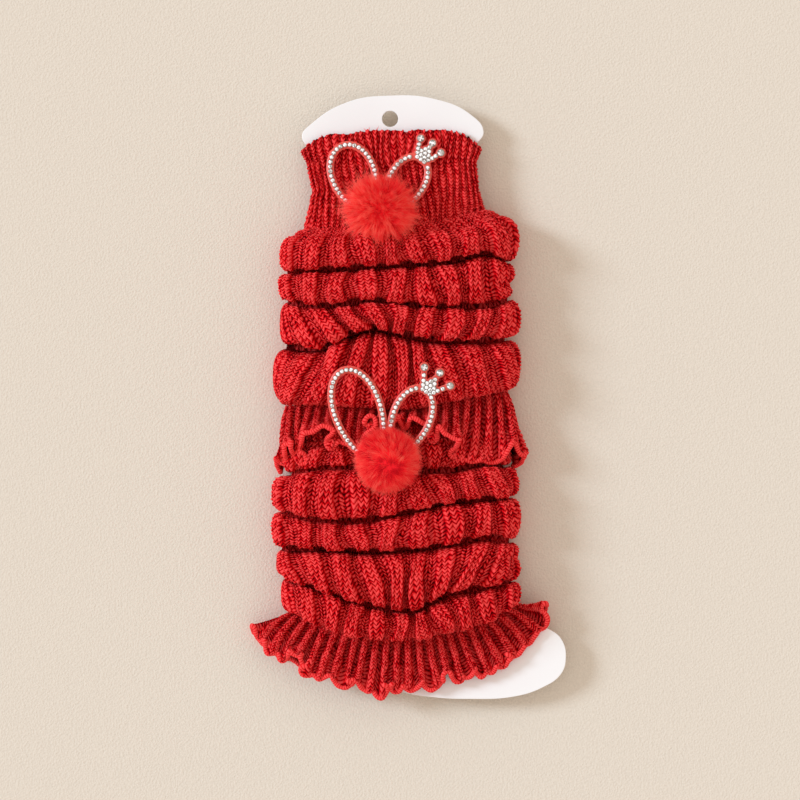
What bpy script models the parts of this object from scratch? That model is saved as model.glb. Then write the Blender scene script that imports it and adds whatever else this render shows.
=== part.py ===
"""A pair of ribbed knit baby leg warmers, one below the other on a foot-shaped display card.

Everything lies flat on its back: +Y points to the card's hang hole and +Z points up, away from the surface.
Sizes are in millimetres, and x = 0, y = 0 is the middle of the outline seen from above.
Each leg warmer is a knitted cuff, a leg pushed into rolled folds and a flared hem with a ruffled edge.
"""

import math
from collections import namedtuple

import bmesh
import bpy
import numpy as np
from mathutils import Matrix

MM = 0.001
COLLECTION = "leg_warmers_on_card"

WALL = 2.0

CARD_BOTTOM = 7.5
CARD_THICKNESS = 1.0
HANG_HOLE = (-8.1, 123.0)
HANG_HOLE_RADIUS = 3.7
HANG_HOLE_CORNERS = 8
CARD_EDGE_RESOLUTION = 3

BODY_RIBS_IN_FRONT = 10
BODY_RIB_HEIGHT = 1.1
BODY_RIB_FADE = 1.3
BODY_RIB_CORNERS = ((0.06, 0.0), (0.44, 0.0), (0.56, 1.0), (0.94, 1.0))
CUFF_RIBS_IN_FRONT = 30
CUFF_RIB_HEIGHT = 0.6
CUFF_RIB_FADE = 6.0
HEM_RIBS_IN_FRONT = 24
HEM_RIB_HEIGHT = 0.8
HEM_RIB_FADE = 3.0
FINE_RIB_CORNERS = ((0.25, 0.0), (0.75, 1.0))
BACK_POINTS = 12
INSIDE_POINTS = 12

FOLD_FULLNESS = 0.85
BACK_FULLNESS = 1.6
BACK_FLATNESS = 1.6
FOLD_MIDDLE = 9.0
FOLD_STEPS = (0.0, 0.13, 0.3, 0.5, 0.7, 0.87)
INSIDE_STEPS = (0.0, 0.25, 0.5, 0.75)
TYPICAL_HALF_WIDTH = 51.0
TYPICAL_FRONT = 22.0
NORMAL_STEP = 0.02

# Where a row's eight heights are read, from the left side (-1) over the front to the right side (1).
COLUMNS = (-1.0, -0.7, -0.45, -0.2, 0.1, 0.45, 0.78, 1.0)

# A ring round the tube. across: its y at the eight columns. left, right: how far it reaches in x.
# front, middle, back: heights of its front, its widest line and its back. square: how boxy it is.
# gather: how far its ribs crowd to the middle. hang, hang_back: how far a round hem drops below its sides.
Row = namedtuple(
    "Row",
    "across left right front middle back square gather hang hang_back",
    defaults=(8.0, 4.8, 3.0, 0.0, 0.0, 0.0),
)
# The top of one roll of cloth: how far it bulges to the left, right, front and back, and its lean to the hem.
Fold = namedtuple("Fold", "left right front lean back", defaults=(2.0, 0.0))

UPPER_CUFF = (
    Row((108.0, 114.4, 116.2, 117.9, 117.5, 117.7, 114.6, 109.3), -47.6, 32.6, 11.6, 8.0, 5.0, 4.0),
    Row((103.2,) * 8, -44.2, 29.3, 12.0, 8.0, 5.0, 4.0),
    Row((91.3,) * 8, -42.0, 30.4, 12.6, 8.0, 5.0, 4.0),
    Row((72.7, 73.6, 74.4, 75.3, 75.8, 76.4, 79.7, 81.5), -46.4, 33.7, 16.0, 8.0, 4.8),
)
UPPER_CREASES = (
    Row((72.4, 73.3, 74.1, 75.0, 75.5, 76.1, 79.4, 81.2), -46.4, 33.7, 16.0, 8.0, 4.8),
    Row((55.2, 56.8, 57.5, 58.3, 59.2, 60.5, 64.0, 59.6), -53.5, 42.9, 16.0),
    Row((42.9, 40.9, 42.2, 43.6, 41.6, 40.7, 40.9, 43.8), -53.5, 43.1, 16.0),
    Row((22.7, 21.6, 27.9, 31.2, 28.2, 25.7, 25.7, 26.2), -53.9, 42.0, 16.0, gather=0.25),
    Row((-3.3, -3.1, -3.7, -4.4, -5.1, -1.5, 1.5, 3.3), -53.5, 42.9, 16.2, back=1.0, square=3.6),
)
UPPER_FOLDS = (
    Fold(-55.2, 46.6, 26.0),
    Fold(-55.7, 44.7, 25.0),
    Fold(-55.2, 47.7, 26.0),
    Fold(-58.3, 47.3, 26.0, 3.0),
)
UPPER_HEM = (
    Row((-3.6, -3.4, -4.0, -4.7, -5.4, -1.8, 1.2, 3.0), -53.5, 42.9, 16.2, back=1.0, square=3.6),
    Row((-27.9, -15.2, -20.0, -9.0, -8.6, -24.0, -27.1, -26.2), -59.6, 52.1, 21.8, 9.0, 0.0),
)

LOWER_CUFF = (
    Row((5.0,) * 8, -46.6, 36.6, 12.2, 8.0, 5.0, 4.0),
    Row((-8.0,) * 8, -46.6, 36.6, 12.2, 8.0, 5.0, 4.0),
    Row((-21.0, -20.2, -19.3, -18.8, -18.8, -18.8, -19.3, -20.2), -48.6, 38.4, 16.0, 8.0, 4.8),
)
LOWER_CREASES = (
    Row((-21.3, -20.5, -19.6, -19.1, -19.1, -19.1, -19.6, -20.5), -48.6, 38.4, 16.0, 8.0, 4.8),
    Row((-33.7, -30.8, -30.1, -30.6, -31.7, -31.7, -28.8, -30.1), -52.0, 42.0, 16.0),
    Row((-49.9, -53.2, -53.9, -52.8, -49.9, -45.8, -44.0, -43.8), -56.0, 43.3, 16.0),
    Row((-66.2, -65.9, -66.3, -66.7, -65.9, -64.0, -60.9, -63.1), -56.0, 44.5, 16.0),
    Row((-79.0, -83.4, -87.8, -91.1, -93.5, -85.1, -82.9, -80.7), -54.8, 45.0, 16.0, gather=0.25),
    Row((-94.4, -101.0, -104.3, -105.4, -105.4, -103.0, -98.3, -90.9), -52.1, 45.0, 16.0),
)
LOWER_FOLDS = (
    Fold(-53.5, 43.0, 18.2, 0.8, 2.5),
    Fold(-57.9, 46.4, 25.5),
    Fold(-58.3, 47.5, 24.5),
    Fold(-57.0, 47.5, 26.5, 3.0),
    Fold(-54.8, 47.7, 26.0),
)
LOWER_HEM = (
    Row((-95.0, -101.3, -104.6, -105.7, -105.7, -103.3, -98.6, -91.7), -52.1, 45.0, 16.0),
    Row(
        (-98.2, -97.2, -96.4, -95.7, -94.8, -93.8, -92.9, -92.3),
        -69.3, 60.9, 13.8, 8.5, 0.0, 4.0, 0.0, 34.8, 28.0,
    ),
)
HEM_STEPS = (0.0, 0.18, 0.4, 0.62, 0.82, 1.0)
UPPER_RUFFLES_IN_FRONT = 12
LOWER_RUFFLES_IN_FRONT = 18
RUFFLE_SIZE = 1.4
RUFFLE_GROWTH = 1.5
HEM_BACK_FADE = 4.0

# Points on the card's edge, from the hang hole's end clockwise: cap, neck, leg, toe, sole, heel and back.
CARD_EDGE = (
    (-8.1, 133.1), (10.8, 131.8), (27.5, 124.7), (33.0, 117.3), (29.9, 111.8), (26.9, 105.0), (26.2, 92.6),
    (28.5, 76.0), (32.5, 45.0), (32.5, -60.0), (32.5, -84.0), (41.0, -97.2), (53.0, -99.0), (61.0, -102.0),
    (67.3, -106.7), (69.3, -115.5), (67.1, -122.1), (59.2, -127.8), (46.9, -131.8), (26.2, -132.9),
    (11.7, -132.2), (-3.7, -129.6), (-25.7, -121.0), (-40.5, -110.0), (-44.0, -97.0), (-42.5, -75.0),
    (-42.5, 45.0), (-40.0, 76.0), (-38.1, 92.6), (-39.0, 102.0), (-42.3, 108.6), (-46.8, 115.4),
    (-42.9, 120.5), (-26.2, 130.5),
)

POMPOM_RADIUS = 15.4
POMPOM_CORE = 0.86
POMPOM_LOCK = 0.2
POMPOM_REACH = 4.5
POMPOM_LIFT = 0.9
PLATE_RADIUS = 6.5
PLATE_THICKNESS = 1.6
PLATE_SIDES = 18
STRIP_WIDTH = 3.3
STRIP_THICKNESS = 1.2
STEP_IN_THICKNESS = 0.1
EAR_POINTS = 22
EAR_ROUNDNESS = 0.6
EAR_FILL = 0.87
EAR_OPENING = 0.25
CROWN_PAD_RADIUS = 4.4
PRONG_LENGTH = 7.5
PRONG_WIDTH = 2.4
PRONG_SPREAD = math.radians(53.0)
DOT_RADIUS = 2.6
DOT_SIDES = 12

# One rabbit-ear trim: where its plate and pompom sit, and how steeply it rises towards the ears.
Trim = namedtuple("Trim", "name x y height rise pompom_top ears crown")
# One ear: its point and its top seen from above, and the width of its loop.
Ear = namedtuple("Ear", "foot top width")
# The crown on the right ear: its middle and the way its middle prong points.
Crown = namedtuple("Crown", "x y heading")
TRIMS = (
    Trim(
        "upper", -13.4, 82.5, 16.6, -0.1, 35.0,
        (Ear((-16.5, 83.8), (-27.1, 111.5), 18.5), Ear((-9.5, 83.8), (4.2, 106.3), 14.0)),
        Crown(6.8, 107.6, math.radians(52.0)),
    ),
    Trim(
        "lower", -9.2, -27.5, 24.2, 0.12, 38.0,
        (Ear((-13.2, -25.3), (-26.8, 12.8), 19.0), Ear((-5.5, -24.4), (5.4, 4.2), 15.0)),
        Crown(9.0, 5.9, math.radians(52.0)),
    ),
)


def clear_scene():
    for obj in list(bpy.data.objects):
        bpy.data.objects.remove(obj, do_unlink=True)


def make_collection(name):
    collection = bpy.data.collections.new(name)
    bpy.context.scene.collection.children.link(collection)
    return collection


def make_material(name, color, roughness):
    material = bpy.data.materials.new(name)
    material.use_nodes = True
    shader = material.node_tree.nodes["Principled BSDF"]
    shader.inputs["Base Color"].default_value = (*color, 1.0)
    shader.inputs["Roughness"].default_value = roughness
    shader.inputs["Metallic"].default_value = 0.0
    return material


def smooth_curve(x, stations, values):
    """Read a curve that passes through the stations without overshooting between them."""
    stations = np.asarray(stations, float)
    values = np.asarray(values, float)
    spans = np.diff(stations)
    slopes = np.diff(values) / spans
    tangents = np.zeros_like(values)
    tangents[0], tangents[-1] = slopes[0], slopes[-1]
    same_way = slopes[1:] * slopes[:-1] > 0
    sums = np.where(same_way, slopes[1:] + slopes[:-1], 1.0)
    tangents[1:-1] = np.where(same_way, 2 * slopes[1:] * slopes[:-1] / sums, 0.0)
    x = np.clip(x, stations[0], stations[-1])
    index = np.clip(np.searchsorted(stations, x) - 1, 0, len(spans) - 1)
    u = (x - stations[index]) / spans[index]
    return (
        (1 + 2 * u) * (1 - u) ** 2 * values[index]
        + u * (1 - u) ** 2 * spans[index] * tangents[index]
        + u * u * (3 - 2 * u) * values[index + 1]
        + u * u * (u - 1) * spans[index] * tangents[index + 1]
    )


def mix(a, b, share):
    return a + (b - a) * share


def mix_rows(a, b, share):
    """The ring a share of the way from one row to the next."""
    across = tuple(mix(p, q, share) for p, q in zip(a.across, b.across))
    return Row(across, *(mix(p, q, share) for p, q in zip(a[1:], b[1:])))


def ring_point(row, theta, lean=0.0):
    """The plain tube on one row, at angles from the right side (0) over the front (half pi) and back."""
    cosine, sine = np.cos(theta), np.sin(theta)
    power = 2.0 / row.square
    t = np.sign(cosine) * np.abs(cosine) ** power
    t = t * (1.0 - row.gather * (1.0 - t * t))
    rise = np.abs(sine) ** power
    in_front = sine >= 0
    x = mix(row.left, row.right, (t + 1.0) / 2.0)
    y_front = smooth_curve(t, COLUMNS, row.across)
    y_side = mix(row.across[0], row.across[-1], (t + 1.0) / 2.0)
    drop = np.sqrt(np.clip(1.0 - t * t, 0.0, 1.0))
    y = np.where(in_front, y_front - row.hang * drop - lean * rise, y_side - row.hang_back * drop)
    z_front = mix(row.middle, row.front, rise)
    z_back = mix(row.middle, row.back, np.minimum(1.0, BACK_FLATNESS * rise))
    return np.stack([x, y, np.where(in_front, z_front, z_back)], axis=-1)


def folded_point(creases, folds, v, theta):
    """The plain leg: v counts the folds from the cuff, and each rolls out from one crease to the next."""
    index = min(int(v), len(folds) - 1)
    u = v - index
    fold = folds[index]
    travel = (1.0 - math.cos(math.pi * u)) / 2.0
    bulge = max(0.0, math.sin(math.pi * u)) ** FOLD_FULLNESS
    base = mix_rows(creases[index], creases[index + 1], travel)
    row = base._replace(
        left=mix(base.left, fold.left, bulge),
        right=mix(base.right, fold.right, bulge),
        front=mix(base.front, fold.front, bulge),
        middle=mix(base.middle, FOLD_MIDDLE, bulge),
        back=mix(base.back, fold.back, min(1.0, BACK_FULLNESS * bulge)),
    )
    return ring_point(row, theta, lean=fold.lean * bulge)


def rowed_point(rows, v, theta, ruffles=0):
    """The plain cuff or hem: v runs from 0 to 1 over the rows, and a ruffled edge waves at v = 1."""
    place = v * (len(rows) - 1)
    index = min(int(place), len(rows) - 2)
    row = mix_rows(rows[index], rows[index + 1], place - index)
    if ruffles:
        row = row._replace(back=rows[0].back * max(0.0, 1.0 - HEM_BACK_FADE * v))
    point = ring_point(row, theta)
    if ruffles:
        front = np.sqrt(np.clip(np.sin(theta), 0.0, 1.0))
        wave = 2.0 * ruffles * front_share(theta) * math.pi
        size = RUFFLE_SIZE * max(0.0, v * 2.0 - 1.0) ** RUFFLE_GROWTH * front
        point[..., 1] += size * np.sin(wave)
        point[..., 2] += size * np.cos(wave)
    return point


def arc_table(start):
    """Angles and the share of the section's length that each has passed, on one half of a typical fold."""
    theta = np.linspace(start, start + math.pi, 241)
    level = (0.0,) * len(COLUMNS)
    row = Row(level, -TYPICAL_HALF_WIDTH, TYPICAL_HALF_WIDTH, TYPICAL_FRONT, FOLD_MIDDLE, 0.0)
    points = ring_point(row, theta)
    steps = np.linalg.norm(np.diff(points, axis=0), axis=1)
    lengths = np.concatenate([[0.0], np.cumsum(steps)])
    return theta, lengths / lengths[-1]


FRONT_ANGLES, FRONT_SHARES = arc_table(0.0)
BACK_ANGLES, BACK_SHARES = arc_table(math.pi)


def front_share(theta):
    return np.interp(theta, FRONT_ANGLES, FRONT_SHARES)


def crowded_shares(count):
    """Shares of one half of a ring, closer together where it turns round the sides."""
    return (1.0 - np.cos(math.pi * (np.arange(count) + 0.5) / count)) / 2.0


def ring_angles(ribs, corners):
    """Angles round a ribbed ring, and how far each is raised: ribs in front, plain points behind."""
    shares = [((rib + place) / ribs, raised) for rib in range(ribs) for place, raised in corners]
    front = np.interp([share for share, _ in shares], FRONT_SHARES, FRONT_ANGLES)
    back = np.interp(crowded_shares(BACK_POINTS), BACK_SHARES, BACK_ANGLES)
    raised = [value for _, value in shares] + [0.0] * BACK_POINTS
    return np.concatenate([front, back]), np.array(raised)


def plain_angles():
    shares = crowded_shares(INSIDE_POINTS)
    front = np.interp(shares, FRONT_SHARES, FRONT_ANGLES)
    back = np.interp(shares, BACK_SHARES, BACK_ANGLES)
    return np.concatenate([front, back])


def outward(surface, v, theta, v_end, level):
    """Unit normals of a plain tube, kept level with its ring at seams and creases."""
    around = surface(v, theta + NORMAL_STEP) - surface(v, theta - NORMAL_STEP)
    along = surface(min(v_end, v + NORMAL_STEP), theta) - surface(max(0.0, v - NORMAL_STEP), theta)
    if level:
        around[:, 1] = 0.0
        along = np.zeros_like(around)
        along[:, 1] = -1.0
    normal = np.cross(around, along)
    normal /= np.linalg.norm(normal, axis=1, keepdims=True)
    return normal


def link_object(name, mesh, material, collection):
    obj = bpy.data.objects.new(name, mesh)
    obj.data.materials.append(material)
    collection.objects.link(obj)
    return obj


def zip_rings(bm, ring_a, angles_a, ring_b, angles_b):
    """Close the gap between two rings that have different numbers of points."""
    i = j = 0
    full = 2.0 * math.pi
    count_a, count_b = len(ring_a), len(ring_b)
    while i < count_a or j < count_b:
        next_a = angles_a[(i + 1) % count_a] + full * ((i + 1) // count_a)
        next_b = angles_b[(j + 1) % count_b] + full * ((j + 1) // count_b)
        if j >= count_b or (i < count_a and next_a <= next_b):
            bm.faces.new((ring_a[i % count_a], ring_a[(i + 1) % count_a], ring_b[j % count_b]))
            i += 1
        else:
            bm.faces.new((ring_a[i % count_a], ring_b[(j + 1) % count_b], ring_b[j % count_b]))
            j += 1


def loft(bm, rings):
    """Faces between rings of equal numbers of points."""
    count = len(rings[0])
    for upper, lower in zip(rings, rings[1:]):
        for i in range(count):
            k = (i + 1) % count
            bm.faces.new((upper[i], upper[k], lower[k], lower[i]))


def knit_tube(
    name, surface, outer_steps, inner_steps, level_steps, ribs, corners, rib_height, material, collection
):
    """A wall of knit, ribbed outside and plain inside. rib_height gives a rib's height at each v."""
    v_end = outer_steps[-1]
    outer_angles, raised = ring_angles(ribs, corners)
    inner_angles = plain_angles()
    bm = bmesh.new()
    outer, inner = [], []
    for v in outer_steps:
        points = surface(v, outer_angles)
        normals = outward(surface, v, outer_angles, v_end, v in level_steps)
        points = points + normals * (raised * rib_height(v))[:, None]
        outer.append([bm.verts.new(point * MM) for point in points])
    for v in inner_steps:
        points = surface(v, inner_angles) - outward(surface, v, inner_angles, v_end, v in level_steps) * WALL
        inner.append([bm.verts.new(point * MM) for point in points])
    loft(bm, outer)
    loft(bm, [ring[::-1] for ring in inner])
    zip_rings(bm, inner[0], inner_angles, outer[0], outer_angles)
    zip_rings(bm, outer[-1], outer_angles, inner[-1], inner_angles)
    mesh = bpy.data.meshes.new(name)
    bm.to_mesh(mesh)
    bm.free()
    return link_object(name, mesh, material, collection)


def make_leg(name, creases, folds, material, collection):
    def surface(v, theta):
        return folded_point(creases, folds, v, theta)

    def rib_height(v):
        return BODY_RIB_HEIGHT * min(1.0, BODY_RIB_FADE * math.sin(math.pi * (v % 1.0)) ** 2)

    end = float(len(folds))
    outer_steps = [k + step for k in range(len(folds)) for step in FOLD_STEPS] + [end]
    inner_steps = [k + step for k in range(len(folds)) for step in INSIDE_STEPS] + [end]
    creases_at = [float(k) for k in range(len(folds) + 1)]
    return knit_tube(
        name, surface, outer_steps, inner_steps, creases_at, BODY_RIBS_IN_FRONT, BODY_RIB_CORNERS,
        rib_height, material, collection,
    )


def make_cuff(name, rows, material, collection):
    def surface(v, theta):
        return rowed_point(rows, v, theta)

    def rib_height(v):
        return CUFF_RIB_HEIGHT * min(1.0, CUFF_RIB_FADE * (1.0 - v))

    steps = list(np.linspace(0.0, 1.0, 2 * len(rows) - 1))
    return knit_tube(
        name, surface, steps, steps, (0.0, 1.0), CUFF_RIBS_IN_FRONT, FINE_RIB_CORNERS,
        rib_height, material, collection,
    )


def make_hem(name, rows, ruffles, material, collection):
    def surface(v, theta):
        return rowed_point(rows, v, theta, ruffles)

    def rib_height(v):
        return HEM_RIB_HEIGHT * min(1.0, HEM_RIB_FADE * v)

    return knit_tube(
        name, surface, HEM_STEPS, HEM_STEPS, (0.0,), HEM_RIBS_IN_FRONT, FINE_RIB_CORNERS,
        rib_height, material, collection,
    )


def smooth_spline(curve, points):
    """A closed Bezier outline through the given points."""
    spline = curve.splines.new("BEZIER")
    spline.bezier_points.add(len(points) - 1)
    for bezier, (x, y) in zip(spline.bezier_points, points):
        bezier.co = (x * MM, y * MM, 0.0)
        bezier.handle_left_type = bezier.handle_right_type = "AUTO"
    spline.use_cyclic_u = True
    spline.resolution_u = CARD_EDGE_RESOLUTION


def make_card(material, collection):
    curve = bpy.data.curves.new("display_card", "CURVE")
    curve.dimensions = "2D"
    curve.fill_mode = "BOTH"
    curve.extrude = CARD_THICKNESS / 2.0 * MM
    smooth_spline(curve, CARD_EDGE)
    turns = [2.0 * math.pi * i / HANG_HOLE_CORNERS for i in range(HANG_HOLE_CORNERS)]
    hole_x, hole_y = HANG_HOLE
    smooth_spline(
        curve,
        [(hole_x + HANG_HOLE_RADIUS * math.cos(a), hole_y + HANG_HOLE_RADIUS * math.sin(a)) for a in turns],
    )
    card = bpy.data.objects.new("display_card", curve)
    card.location.z = (CARD_BOTTOM + CARD_THICKNESS / 2.0) * MM
    card.data.materials.append(material)
    collection.objects.link(card)
    return card


def ear_path(ear):
    """A teardrop loop: pointed at its foot, round at its top."""
    foot, top = np.array(ear.foot), np.array(ear.top)
    axis = top - foot
    side = np.array((axis[1], -axis[0])) / np.linalg.norm(axis)
    half_width = ear.width / 2.0 / EAR_FILL
    path = []
    for turn in np.linspace(EAR_OPENING, 2.0 * math.pi - EAR_OPENING, EAR_POINTS):
        rise = (1.0 - math.cos(turn)) / 2.0
        swing = half_width * math.sin(turn) * math.sin(turn / 2.0) ** EAR_ROUNDNESS
        path.append(foot + axis * rise + side * swing)
    return path


def strip_mesh(path, width, thickness):
    """A flat strip that follows a path in the plane, as a closed mesh."""
    curve = bpy.data.curves.new("strip", "CURVE")
    curve.dimensions = "2D"
    curve.fill_mode = "NONE"
    curve.extrude = thickness / 2.0 * MM
    spline = curve.splines.new("POLY")
    spline.points.add(len(path) - 1)
    for point, (x, y) in zip(spline.points, path):
        point.co = (x * MM, y * MM, 0.0, 1.0)
    sheet = bpy.data.objects.new("strip", curve)
    bpy.context.scene.collection.objects.link(sheet)
    mesh = bpy.data.meshes.new_from_object(sheet.evaluated_get(bpy.context.evaluated_depsgraph_get()))
    bpy.data.objects.remove(sheet)
    strip = bpy.data.objects.new("strip", mesh)
    bpy.context.scene.collection.objects.link(strip)
    solidify = strip.modifiers.new("width", "SOLIDIFY")
    solidify.thickness = width * MM
    solidify.offset = 0.0
    solidify.use_even_offset = True
    bpy.context.view_layer.update()
    solid = bpy.data.meshes.new_from_object(strip.evaluated_get(bpy.context.evaluated_depsgraph_get()))
    bpy.data.objects.remove(strip)
    return solid


def disc_mesh(x, y, radius, thickness, sides):
    bm = bmesh.new()
    place = Matrix.Translation((x * MM, y * MM, 0.0))
    bmesh.ops.create_cone(
        bm, cap_ends=True, segments=sides, radius1=radius * MM, radius2=radius * MM,
        depth=thickness * MM, matrix=place,
    )
    mesh = bpy.data.meshes.new("disc")
    bm.to_mesh(mesh)
    bm.free()
    return mesh


def trim_pieces(trim):
    """The flat pieces that join into one trim backing, each a little thicker or thinner than the next."""
    strips = [strip_mesh(ear_path(ear), STRIP_WIDTH, STRIP_THICKNESS) for ear in trim.ears]
    crown = trim.crown
    thicker = STRIP_THICKNESS + 2.0 * STEP_IN_THICKNESS
    thinner = STRIP_THICKNESS - 2.0 * STEP_IN_THICKNESS
    pieces = strips + [disc_mesh(crown.x, crown.y, CROWN_PAD_RADIUS, thicker, DOT_SIDES)]
    for prong in (-1, 0, 1):
        heading = crown.heading + prong * PRONG_SPREAD
        tip = (crown.x + PRONG_LENGTH * math.cos(heading), crown.y + PRONG_LENGTH * math.sin(heading))
        pieces.append(strip_mesh([(crown.x, crown.y), tip], PRONG_WIDTH, thinner))
        pieces.append(disc_mesh(*tip, DOT_RADIUS, STRIP_THICKNESS + STEP_IN_THICKNESS, DOT_SIDES))
    return pieces


def make_trim(trim, material, collection, cutters):
    """The plate under the pompom, its two ears and the crown, joined into one body and tilted into place."""
    backing = link_object(
        f"{trim.name}_ear_trim",
        disc_mesh(trim.x, trim.y, PLATE_RADIUS, PLATE_THICKNESS, PLATE_SIDES),
        material,
        collection,
    )
    tilt = (
        Matrix.Translation((0.0, trim.y * MM, trim.height * MM))
        @ Matrix.Rotation(math.atan(trim.rise), 4, "X")
        @ Matrix.Translation((0.0, -trim.y * MM, 0.0))
    )
    backing.matrix_world = tilt
    for number, mesh in enumerate(trim_pieces(trim)):
        piece = link_object(f"{trim.name}_trim_piece_{number}", mesh, material, cutters)
        piece.matrix_world = tilt
        piece.hide_render = True
        piece.display_type = "WIRE"
        union = backing.modifiers.new(f"join_{number}", "BOOLEAN")
        union.operation = "UNION"
        union.use_self = True
        union.object = piece
    return backing


def cloth_height(cloths, x, y, reach):
    """The highest point of the cloth within reach of a place."""
    highest = 0.0
    for points in cloths:
        near = np.hypot(points[:, 0] - x, points[:, 1] - y) < reach
        if near.any():
            highest = max(highest, points[near, 2].max())
    return highest


def make_pompom(trim, cloths, material, collection):
    """A ball of tapered locks, pressed on its plate and on the fold below it."""
    bm = bmesh.new()
    bmesh.ops.create_icosphere(bm, subdivisions=2, radius=POMPOM_RADIUS * POMPOM_CORE)
    bmesh.ops.poke(bm, faces=bm.faces, offset=POMPOM_RADIUS * POMPOM_LOCK)
    plate_top = trim.height + PLATE_THICKNESS / 2.0 + PLATE_RADIUS * abs(trim.rise)
    for vert in bm.verts:
        x, y, z = vert.co
        share = (z / POMPOM_RADIUS + 1.0) / 2.0
        floor = max(plate_top, cloth_height(cloths, trim.x + x, trim.y + y, POMPOM_REACH) + POMPOM_LIFT)
        vert.co = (
            (trim.x + x) * MM,
            (trim.y + y) * MM,
            mix(floor, trim.pompom_top, share) * MM,
        )
    mesh = bpy.data.meshes.new(f"{trim.name}_pompom")
    bm.to_mesh(mesh)
    bm.free()
    return link_object(f"{trim.name}_pompom", mesh, material, collection)


def main():
    clear_scene()
    parts = make_collection(COLLECTION)
    cutters = make_collection("cutters")
    knit = make_material("red_ribbed_acrylic_knit", (0.48, 0.006, 0.009), 0.9)
    felt = make_material("red_glued_trim_backing", (0.55, 0.01, 0.015), 0.7)
    fur = make_material("red_fur", (0.72, 0.02, 0.02), 0.85)
    plastic = make_material("white_pressed_card", (0.86, 0.86, 0.85), 0.5)

    make_card(plastic, parts)
    cloth = [
        make_cuff("upper_cuff", UPPER_CUFF, knit, parts),
        make_leg("upper_leg", UPPER_CREASES, UPPER_FOLDS, knit, parts),
        make_hem("upper_hem", UPPER_HEM, UPPER_RUFFLES_IN_FRONT, knit, parts),
        make_cuff("lower_cuff", LOWER_CUFF, knit, parts),
        make_leg("lower_leg", LOWER_CREASES, LOWER_FOLDS, knit, parts),
        make_hem("lower_hem", LOWER_HEM, LOWER_RUFFLES_IN_FRONT, knit, parts),
    ]
    cloths = [np.array([vert.co for vert in obj.data.vertices]) / MM for obj in cloth]
    for trim in TRIMS:
        make_trim(trim, felt, parts, cutters)
        make_pompom(trim, cloths, fur, parts)


main()
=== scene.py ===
"""Looks of a pair of ribbed knit baby leg warmers, one below the other on a foot-shaped display card.

The knit is built as ribbed shells round the solids, with every stitch raised in the mesh and shaded by the
material. Sizes are in millimetres unless a name says otherwise: +Y points to the card's hang hole, +Z up.
"""

import math
from collections import namedtuple
from functools import partial

import bpy
import numpy as np
from bpy.props import FloatProperty, FloatVectorProperty, IntProperty, PointerProperty
from mathutils import Matrix, Vector


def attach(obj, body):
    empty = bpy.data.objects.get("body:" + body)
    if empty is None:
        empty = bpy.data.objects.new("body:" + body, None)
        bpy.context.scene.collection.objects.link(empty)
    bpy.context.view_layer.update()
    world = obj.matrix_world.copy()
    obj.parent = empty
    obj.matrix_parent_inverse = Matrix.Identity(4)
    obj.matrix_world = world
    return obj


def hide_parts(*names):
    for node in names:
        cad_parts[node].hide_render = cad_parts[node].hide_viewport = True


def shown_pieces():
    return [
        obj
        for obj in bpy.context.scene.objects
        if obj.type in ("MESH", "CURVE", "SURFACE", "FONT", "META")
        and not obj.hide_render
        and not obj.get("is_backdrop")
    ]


bl_info = {
    "name": "Leg warmers on a card",
    "version": (1, 0, 0),
    "blender": (4, 5, 0),
    "location": "View3D > Sidebar > Leg warmers",
    "description": "Knits a pair of ribbed leg warmers round their solids and lights them on a plain floor",
    "category": "Object",
}

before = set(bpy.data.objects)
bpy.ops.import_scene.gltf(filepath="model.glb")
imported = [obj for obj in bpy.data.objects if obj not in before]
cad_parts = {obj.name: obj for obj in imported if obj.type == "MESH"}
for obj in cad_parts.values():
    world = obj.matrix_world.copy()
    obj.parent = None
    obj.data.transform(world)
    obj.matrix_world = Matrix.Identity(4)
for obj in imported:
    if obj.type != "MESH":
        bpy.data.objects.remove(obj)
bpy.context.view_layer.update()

MM = 0.001
FULL = 2.0 * math.pi

# How round a fold rolls in front and behind, how flat the tubes lie, and where a fold is widest.
FOLD_FULLNESS = 0.72
BACK_FULLNESS = 1.6
BACK_FLATNESS = 1.6
FOLD_MIDDLE = 9.0
# How soon the back of a hem comes down to the ground.
HEM_BACK_FADE = 4.0
# The section of a typical fold, which tells where the columns of points stand round a tube.
TYPICAL_HALF_WIDTH = 51.0
TYPICAL_FRONT = 22.0
TYPICAL_SQUARE = 3.0
ARC_POINTS = 1201
# Places along a tube, and angles over its front, from which its length is measured.
ROW_SAMPLES = 241
SEEN_ANGLES = 24
SEEN_FROM = 0.15
# Three crossing swells: how they run in x and in y, and how much of the seed each starts with.
SWELLS = ((1.0, 0.7, 1.0), (-0.6, 1.3, 2.1), (2.1, 0.4, 3.7))

# Where a row's eight heights are read, from the left side (-1) over the front to the right side (1).
COLUMNS = (-1.0, -0.7, -0.45, -0.2, 0.1, 0.45, 0.78, 1.0)

# A ring round the tube. across: its y at the eight columns. left, right: how far it reaches in x.
# front, middle, back: heights of its front, its widest line and its back. square: how boxy it is.
# gather: how far its ribs crowd to the middle. hang, hang_back: how far a round hem drops below its sides.
Row = namedtuple(
    "Row",
    "across left right front middle back square gather hang hang_back",
    defaults=(8.0, 4.8, 3.0, 0.0, 0.0, 0.0),
)
# The top of one roll of cloth: how far it bulges to the left, right, front and back, and its lean to the hem.
Fold = namedtuple("Fold", "left right front lean back", defaults=(2.0, 0.0))

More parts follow.
